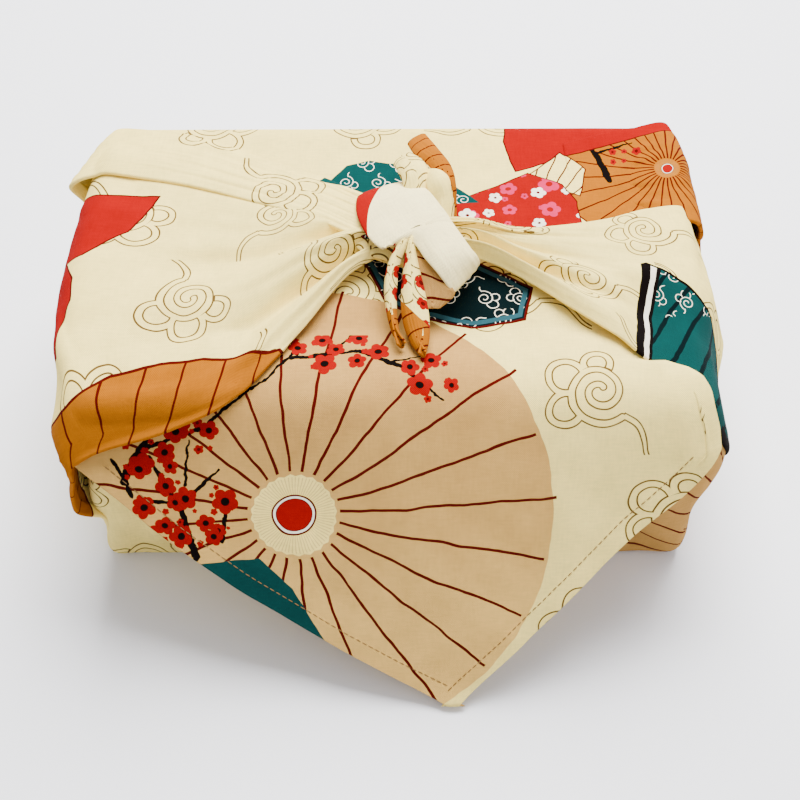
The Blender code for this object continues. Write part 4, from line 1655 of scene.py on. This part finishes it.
LEFT_SECTIONS = sections(
    (-98, 56, 3, -98, -60, 4, 1.0), (-107, 55, 34, -108, -69, 25, 1.0),
    (-107, 52, 66, -110, -73, 50, 1.6), (-107, 46, 86, -103.5, -78, 72, 3.4),
    (-90, 38, 91, -92, -75, 79, 3.0), (-66, 30, 93, -72, -71, 84, 2.5),
    (-46, 22, 95, -50, -62, 90, 3.5), (-29, 15, 98, -31, -38, 92, 4.0),
    (-14, 8, 98.5, -16, -16, 94.5, 2.5), (-2, 4, 99, -2, -8, 97.5, 1.0),
)
PLEAT_SECTIONS = sections(
    (-96, 60, 5, -99, 42, 5, 0.5), (-106, 61, 42, -109, 38, 42, 1.0),
    (-107, 61, 76, -113.5, 39, 73, 1.0), (-103, 62, 88, -114.5, 37.5, 86.5, 1.0),
    (-92, 62, 89, -101, 38, 91.5, 1.2), (-72, 57, 89, -78, 32, 93.5, 1.5),
    (-48, 46, 90, -52, 21, 95.5, 1.5), (-26, 34, 93, -28, 8, 99, 1.5),
    (-14, 22, 98, -12, -3, 101.5, 1.0), (-1, 12, 101, 0, -4, 103, 0.5),
)
RIGHT_SECTIONS = sections(
    (98, 10, 3, 99, -42, 4, 1.0), (108, 14, 36, 111, -51, 34, 3.5),
    (108, 20, 70, 109, -65, 60, 3.0), (106, 20, 90, 103, -66, 83, 3.0),
    (91, 18, 92, 95, -56, 91.5, 2.5), (74, 12, 93, 76, -43, 92.5, 2.5),
    (57, 7, 95, 58, -29, 93.5, 3.0), (41, 4, 97, 44, -18, 94.5, 3.0),
    (27, 4, 101, 29, -11, 97.5, 2.5), (10, 4, 102, 10, -9, 99, 1.0),
)
TUCK_SECTIONS = sections(
    (97, 58, 4, 97, 32, 4, 0.5), (107, 61, 40, 107, 30, 40, 1.5), (107, 65, 72, 111.5, 19, 74, 2.0),
    (104, 66, 87, 110.5, 15, 88.5, 2.0), (94, 64, 88.5, 98, 16, 91, 1.5),
    (80, 58, 87, 82, 20, 87.5, 0.5), (62, 50, 84, 64, 24, 84, 0.0),
)
LEFT_FOLDS = folds(
    (0.24, 0.40, 0.56, -6.4, 0.060), (0.46, 0.58, 0.60, 4.6, 0.070),
    (0.64, 0.76, 0.56, -6.8, 0.055), (0.93, 0.90, 0.60, 2.2, 0.085), (0.36, 0.50, 0.34, 2.4, 0.035),
    (0.80, 0.87, 0.42, 2.6, 0.045), (0.56, 0.66, 0.30, -2.2, 0.030),
)
RIGHT_FOLDS = folds(
    (0.34, 0.46, 0.46, -5.2, 0.060), (0.62, 0.72, 0.54, -6.0, 0.050),
    (0.84, 0.92, 0.60, 4.4, 0.085), (0.12, 0.05, 0.60, 2.2, 0.080), (0.48, 0.58, 0.34, 2.6, 0.040),
    (0.24, 0.30, 0.28, -2.4, 0.035),
)
KNOT_BAND = sections(
    (3, 24, 92, -9.5, 19, 92, 0.0), (3.5, 26.0, 98, -12.6, 16.2, 101, 0.8),
    (10.2, 14.6, 105.8, -12.6, 4.4, 104.2, 1.4), (15.3, 4.2, 107.4, -8.6, -7.6, 105.6, 1.8),
    (17.2, 0.6, 107.4, -3.2, -13.6, 105.8, 1.8), (19, -3, 107, -0.7, -7.6, 105.5, 2.4),
    (22.4, -9.9, 107, 5.8, -11.2, 106.5, 2.6), (24.9, -14.6, 106.5, 10.1, -18.9, 106.5, 2.4),
    (26.9, -16.2, 104.5, 14.9, -24.6, 104.5, 1.6), (28.1, -15.6, 100, 19.0, -27.6, 100, 0.6),
    (26.5, -14, 96.5, 18.5, -26, 96.5, 0.0),
)
FRONT_LEFT = sections(
    (2.5, -5, 106, 8, -6, 106, 1.0), (0.6, -10, 105, 4.6, -11, 105, 1.6),
    (-2.4, -16.4, 101.5, 1.6, -16.9, 102, 2.0), (-3.7, -23.9, 98.5, 0.6, -24.2, 99, 2.2),
    (-3.0, -32.2, 95.5, 0.5, -32.5, 95.8, 2.0), (-1.1, -39.8, 93.4, 1.4, -39.8, 93.6, 1.4),
    (1.6, -44.2, 92.2, 2.8, -44.6, 92.3, 0.6),
)
FRONT_RIGHT = sections(
    (4.5, -6, 106, 10, -6, 106, 1.0), (3.8, -10.6, 105, 7, -11.5, 105, 1.6),
    (2.7, -18.2, 101.2, 8.2, -19.1, 101.6, 2.0), (1.9, -27.4, 98, 10, -28.8, 98.4, 2.2),
    (2.4, -35.6, 94.9, 11, -35.7, 95.2, 2.2), (4.9, -43.3, 93, 10.9, -42.5, 93.3, 1.6),
    (8.2, -48.6, 92, 9.5, -48.8, 92, 0.6),
)
UNDER_LAYER = sections(
    (5, -12, 104, 15, -17, 104, 0.5), (7.5, -19, 101.5, 18.2, -26.5, 101.5, 0.8),
    (8.8, -25.3, 98.5, 18.6, -29.0, 99, 1.0), (10.0, -31.2, 95.4, 14.5, -31.4, 95.8, 0.6),
)
BACK_CREAM = sections(
    (-0.5, 31, 102, 5.5, 36, 102.5, 1.0), (1.0, 24, 105, 9.5, 30, 105.5, 2.0),
    (3.0, 17, 105.4, 12, 22, 105.6, 2.4), (4.5, 7, 101, 13, 9, 101, 1.0),
)
BACK_TIP = sections(
    (4.6, 40.1, 103, 10.7, 44.3, 103, 0.8), (7.0, 32.2, 106, 14.8, 34.8, 106, 1.2),
    (12.1, 24.4, 107, 19.3, 24.8, 107, 1.4), (16.5, 15.5, 105.5, 21, 16.6, 105, 1.2),
    (15.5, 7, 99, 21, 8, 98.5, 0.6),
)
BACK_ROLL = sections(
    (9.5, 22, 104, 15.5, 26, 104, 2.0), (11, 15, 106.5, 19, 19.5, 106, 3.4),
    (13, 9.5, 103.6, 20.5, 13.5, 102.5, 3.0), (13.5, 3, 101, 20, 6, 99, 1.6),
)


@dataclass(frozen=True)
class Stop:
    """One place on a strip of cloth: where its middle is, and how wide and thick it is, in millimetres."""

    x: float
    y: float
    z: float
    width: float
    thickness: float


@dataclass
class Core:
    """The gathered cloth inside the knot: a closed strip that fills the space under the band."""

    material: bpy.types.Material
    stops: tuple[Stop, ...] = (
        Stop(-15, 3, 97, 10, 6),
        Stop(-7, 1, 97.5, 20, 8),
        Stop(6, -3, 98.5, 24, 11),
        Stop(18, -6, 97.5, 20, 11),
        Stop(29, -6, 96, 13, 7),
    )
    rows: int = 60
    sides: int = 48

    def build(self) -> bpy.types.Object:
        """Models the strip from a grid that closes on itself."""
        at = np.linspace(0, 1, self.rows)
        data = spline([[s.x, s.y, s.z, s.width, s.thickness] for s in self.stops], at) * MM
        path = data[:, :3]
        ahead = unit(np.gradient(path, axis=0))
        across = np.cross(ahead, [0.0, 0.0, 1.0])
        across = unit(across * [1.0, 1.0, 0.0])
        normal = np.cross(across, ahead)
        angle = np.linspace(0, FULL_TURN, self.sides + 1)
        pleats = 1.0 + 0.05 * np.sin(angle * 7)[None] * np.ones((self.rows, 1))
        full = np.sin(np.clip(np.minimum(at, 1 - at) * 8, 0, 1) * math.pi / 2)[:, None]
        wide = data[:, 3, None] / 2 * np.cos(angle)[None] * pleats * full
        thick = data[:, 4, None] / 2 * np.sin(angle)[None] * pleats * full
        grid = path[:, None] + across[:, None] * wide[:, :, None] + normal[:, None] * thick[:, :, None]
        length = run_length(path)
        places = np.stack([wide, np.repeat(length[:, None], self.sides + 1, axis=1)], axis=2)
        made = grid_object("knot_core", grid, places, places)
        bpy.ops.object.mode_set(mode="EDIT")
        bpy.ops.mesh.select_all(action="SELECT")
        bpy.ops.mesh.remove_doubles(threshold=0.000005)
        bpy.ops.mesh.normals_make_consistent(inside=False)
        bpy.ops.object.mode_set(mode="OBJECT")
        made.data.shade_smooth()
        made.data.materials.append(self.material)
        settle(made)
        return made


def build_knot(prints: Prints) -> None:
    """Models every part of the knot: its core, the band over it and the loose ends."""
    cream = prints.tail("back_tail_print", (-50.0, 0.0), 1.0)
    rolled = prints.plain("back_roll_print", CloudScroll(seed=30.0))
    Core(cream).build()
    panels = (
        Panel("knot_band", KNOT_BAND, prints.band(), seed=3, rows=100, columns=56, wrinkle=0.00008),
        Panel("front_tail_left", FRONT_LEFT, prints.tail("front_tail_print", (13.0, 0.3), 0.3), seed=4),
        Panel("front_tail_right", FRONT_RIGHT, prints.tail("front_tail_second", (15.0, -0.9), 0.5), seed=5),
        Panel("under_layer", UNDER_LAYER, prints.under(), seed=6),
        Panel("back_tail", BACK_CREAM, cream, seed=7),
        Panel("back_tail_tip", BACK_TIP, prints.tail("back_tip_print", (90.0, 0.0), 1.0, 5.6), seed=8),
        Panel("back_roll", BACK_ROLL, rolled, crown_power=2.0, seed=9),
    )
    for panel in panels:
        panel.build()


@dataclass
class Studio:
    """A plain pale floor, soft light from above and behind, and the photograph's viewpoint."""

    eye: Triple = (0.0014, -0.3135, 0.4155)
    aim: Triple = (0.0014, 0.0042, 0.0)
    roll: float = -0.24
    lens: float = 58.5
    sensor: float = 36.0
    floor_tones: tuple[Colour, Colour] = ((0.87, 0.87, 0.90, 1.0), (0.90, 0.90, 0.93, 1.0))

    def build(self) -> None:
        """Sets the floor, the lights and the camera."""
        self.floor()
        self.lights()
        self.camera()

    def floor(self) -> None:
        """A wide pale sheet with a fine grain."""
        ground = add_object(bpy.ops.mesh.primitive_plane_add, "studio_floor", size=6.0)
        ground.data.materials.append(drifting("studio_floor", 3.0, self.floor_tones, 0.7))

    def lights(self) -> None:
        """A large soft light above and behind, and a pale sky all round."""
        for name, place, size, power in (
            ("key_light", (0.10, 0.46, 1.00), 0.80, 50.0),
            ("fill_light", (0.55, -0.5, 0.8), 0.9, 3.0),
        ):
            light = add_object(bpy.ops.object.light_add, name, type="AREA", location=place)
            light.data.energy = power
            light.data.size = size
            light.rotation_euler = (-Vector(place)).to_track_quat("-Z", "Y").to_euler()
        world = bpy.data.worlds.new("studio_world")
        world.use_nodes = True
        sky = world.node_tree.nodes["Background"]
        sky.inputs["Color"].default_value = (0.93, 0.94, 1.0, 1.0)
        sky.inputs["Strength"].default_value = 0.70
        bpy.context.scene.world = world

    def camera(self) -> None:
        """The photograph's viewpoint."""
        camera = add_object(bpy.ops.object.camera_add, "camera", location=self.eye)
        camera.data.lens = self.lens
        camera.data.sensor_width = self.sensor
        look = (Vector(self.aim) - Vector(self.eye)).to_track_quat("-Z", "Y").to_matrix().to_4x4()
        tilt = Matrix.Rotation(math.radians(self.roll), 4, "Z")
        camera.matrix_world = Matrix.Translation(self.eye) @ look @ tilt
        bpy.context.scene.camera = camera


def main() -> None:
    """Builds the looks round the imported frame."""
    logging.basicConfig(level=logging.INFO, format="%(name)s: %(message)s")
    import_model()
    box, ramp, prints = WrappedBox(), Ramp(), Prints()
    Studio().build()
    Bundle(box).build(prints)
    top = TopCloth(box, ramp)
    top.build(prints)
    shared = bpy.data.materials["top_print"]
    wings = (
        Wing("left_wing", LEFT_SECTIONS, prints.left_wing(), LEFT_FOLDS, seed=41, print_width=0.110),
        Overlap("left_pleat", PLEAT_SECTIONS, shared, lift=0.0048, seed=42),
        Wing(
            *("right_wing", RIGHT_SECTIONS, prints.right_wing(), RIGHT_FOLDS),
            seed=43,
            print_width=0.110,
            tucked=(0.49, 0.58),
        ),
        Overlap("right_tuck", TUCK_SECTIONS, shared, rows=110, lift=0.0018, end_lift=-0.0020, seed=44),
    )
    for wing in wings:
        wing.build()
    build_knot(prints)
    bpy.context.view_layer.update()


if __name__ == "__main__":
    main()
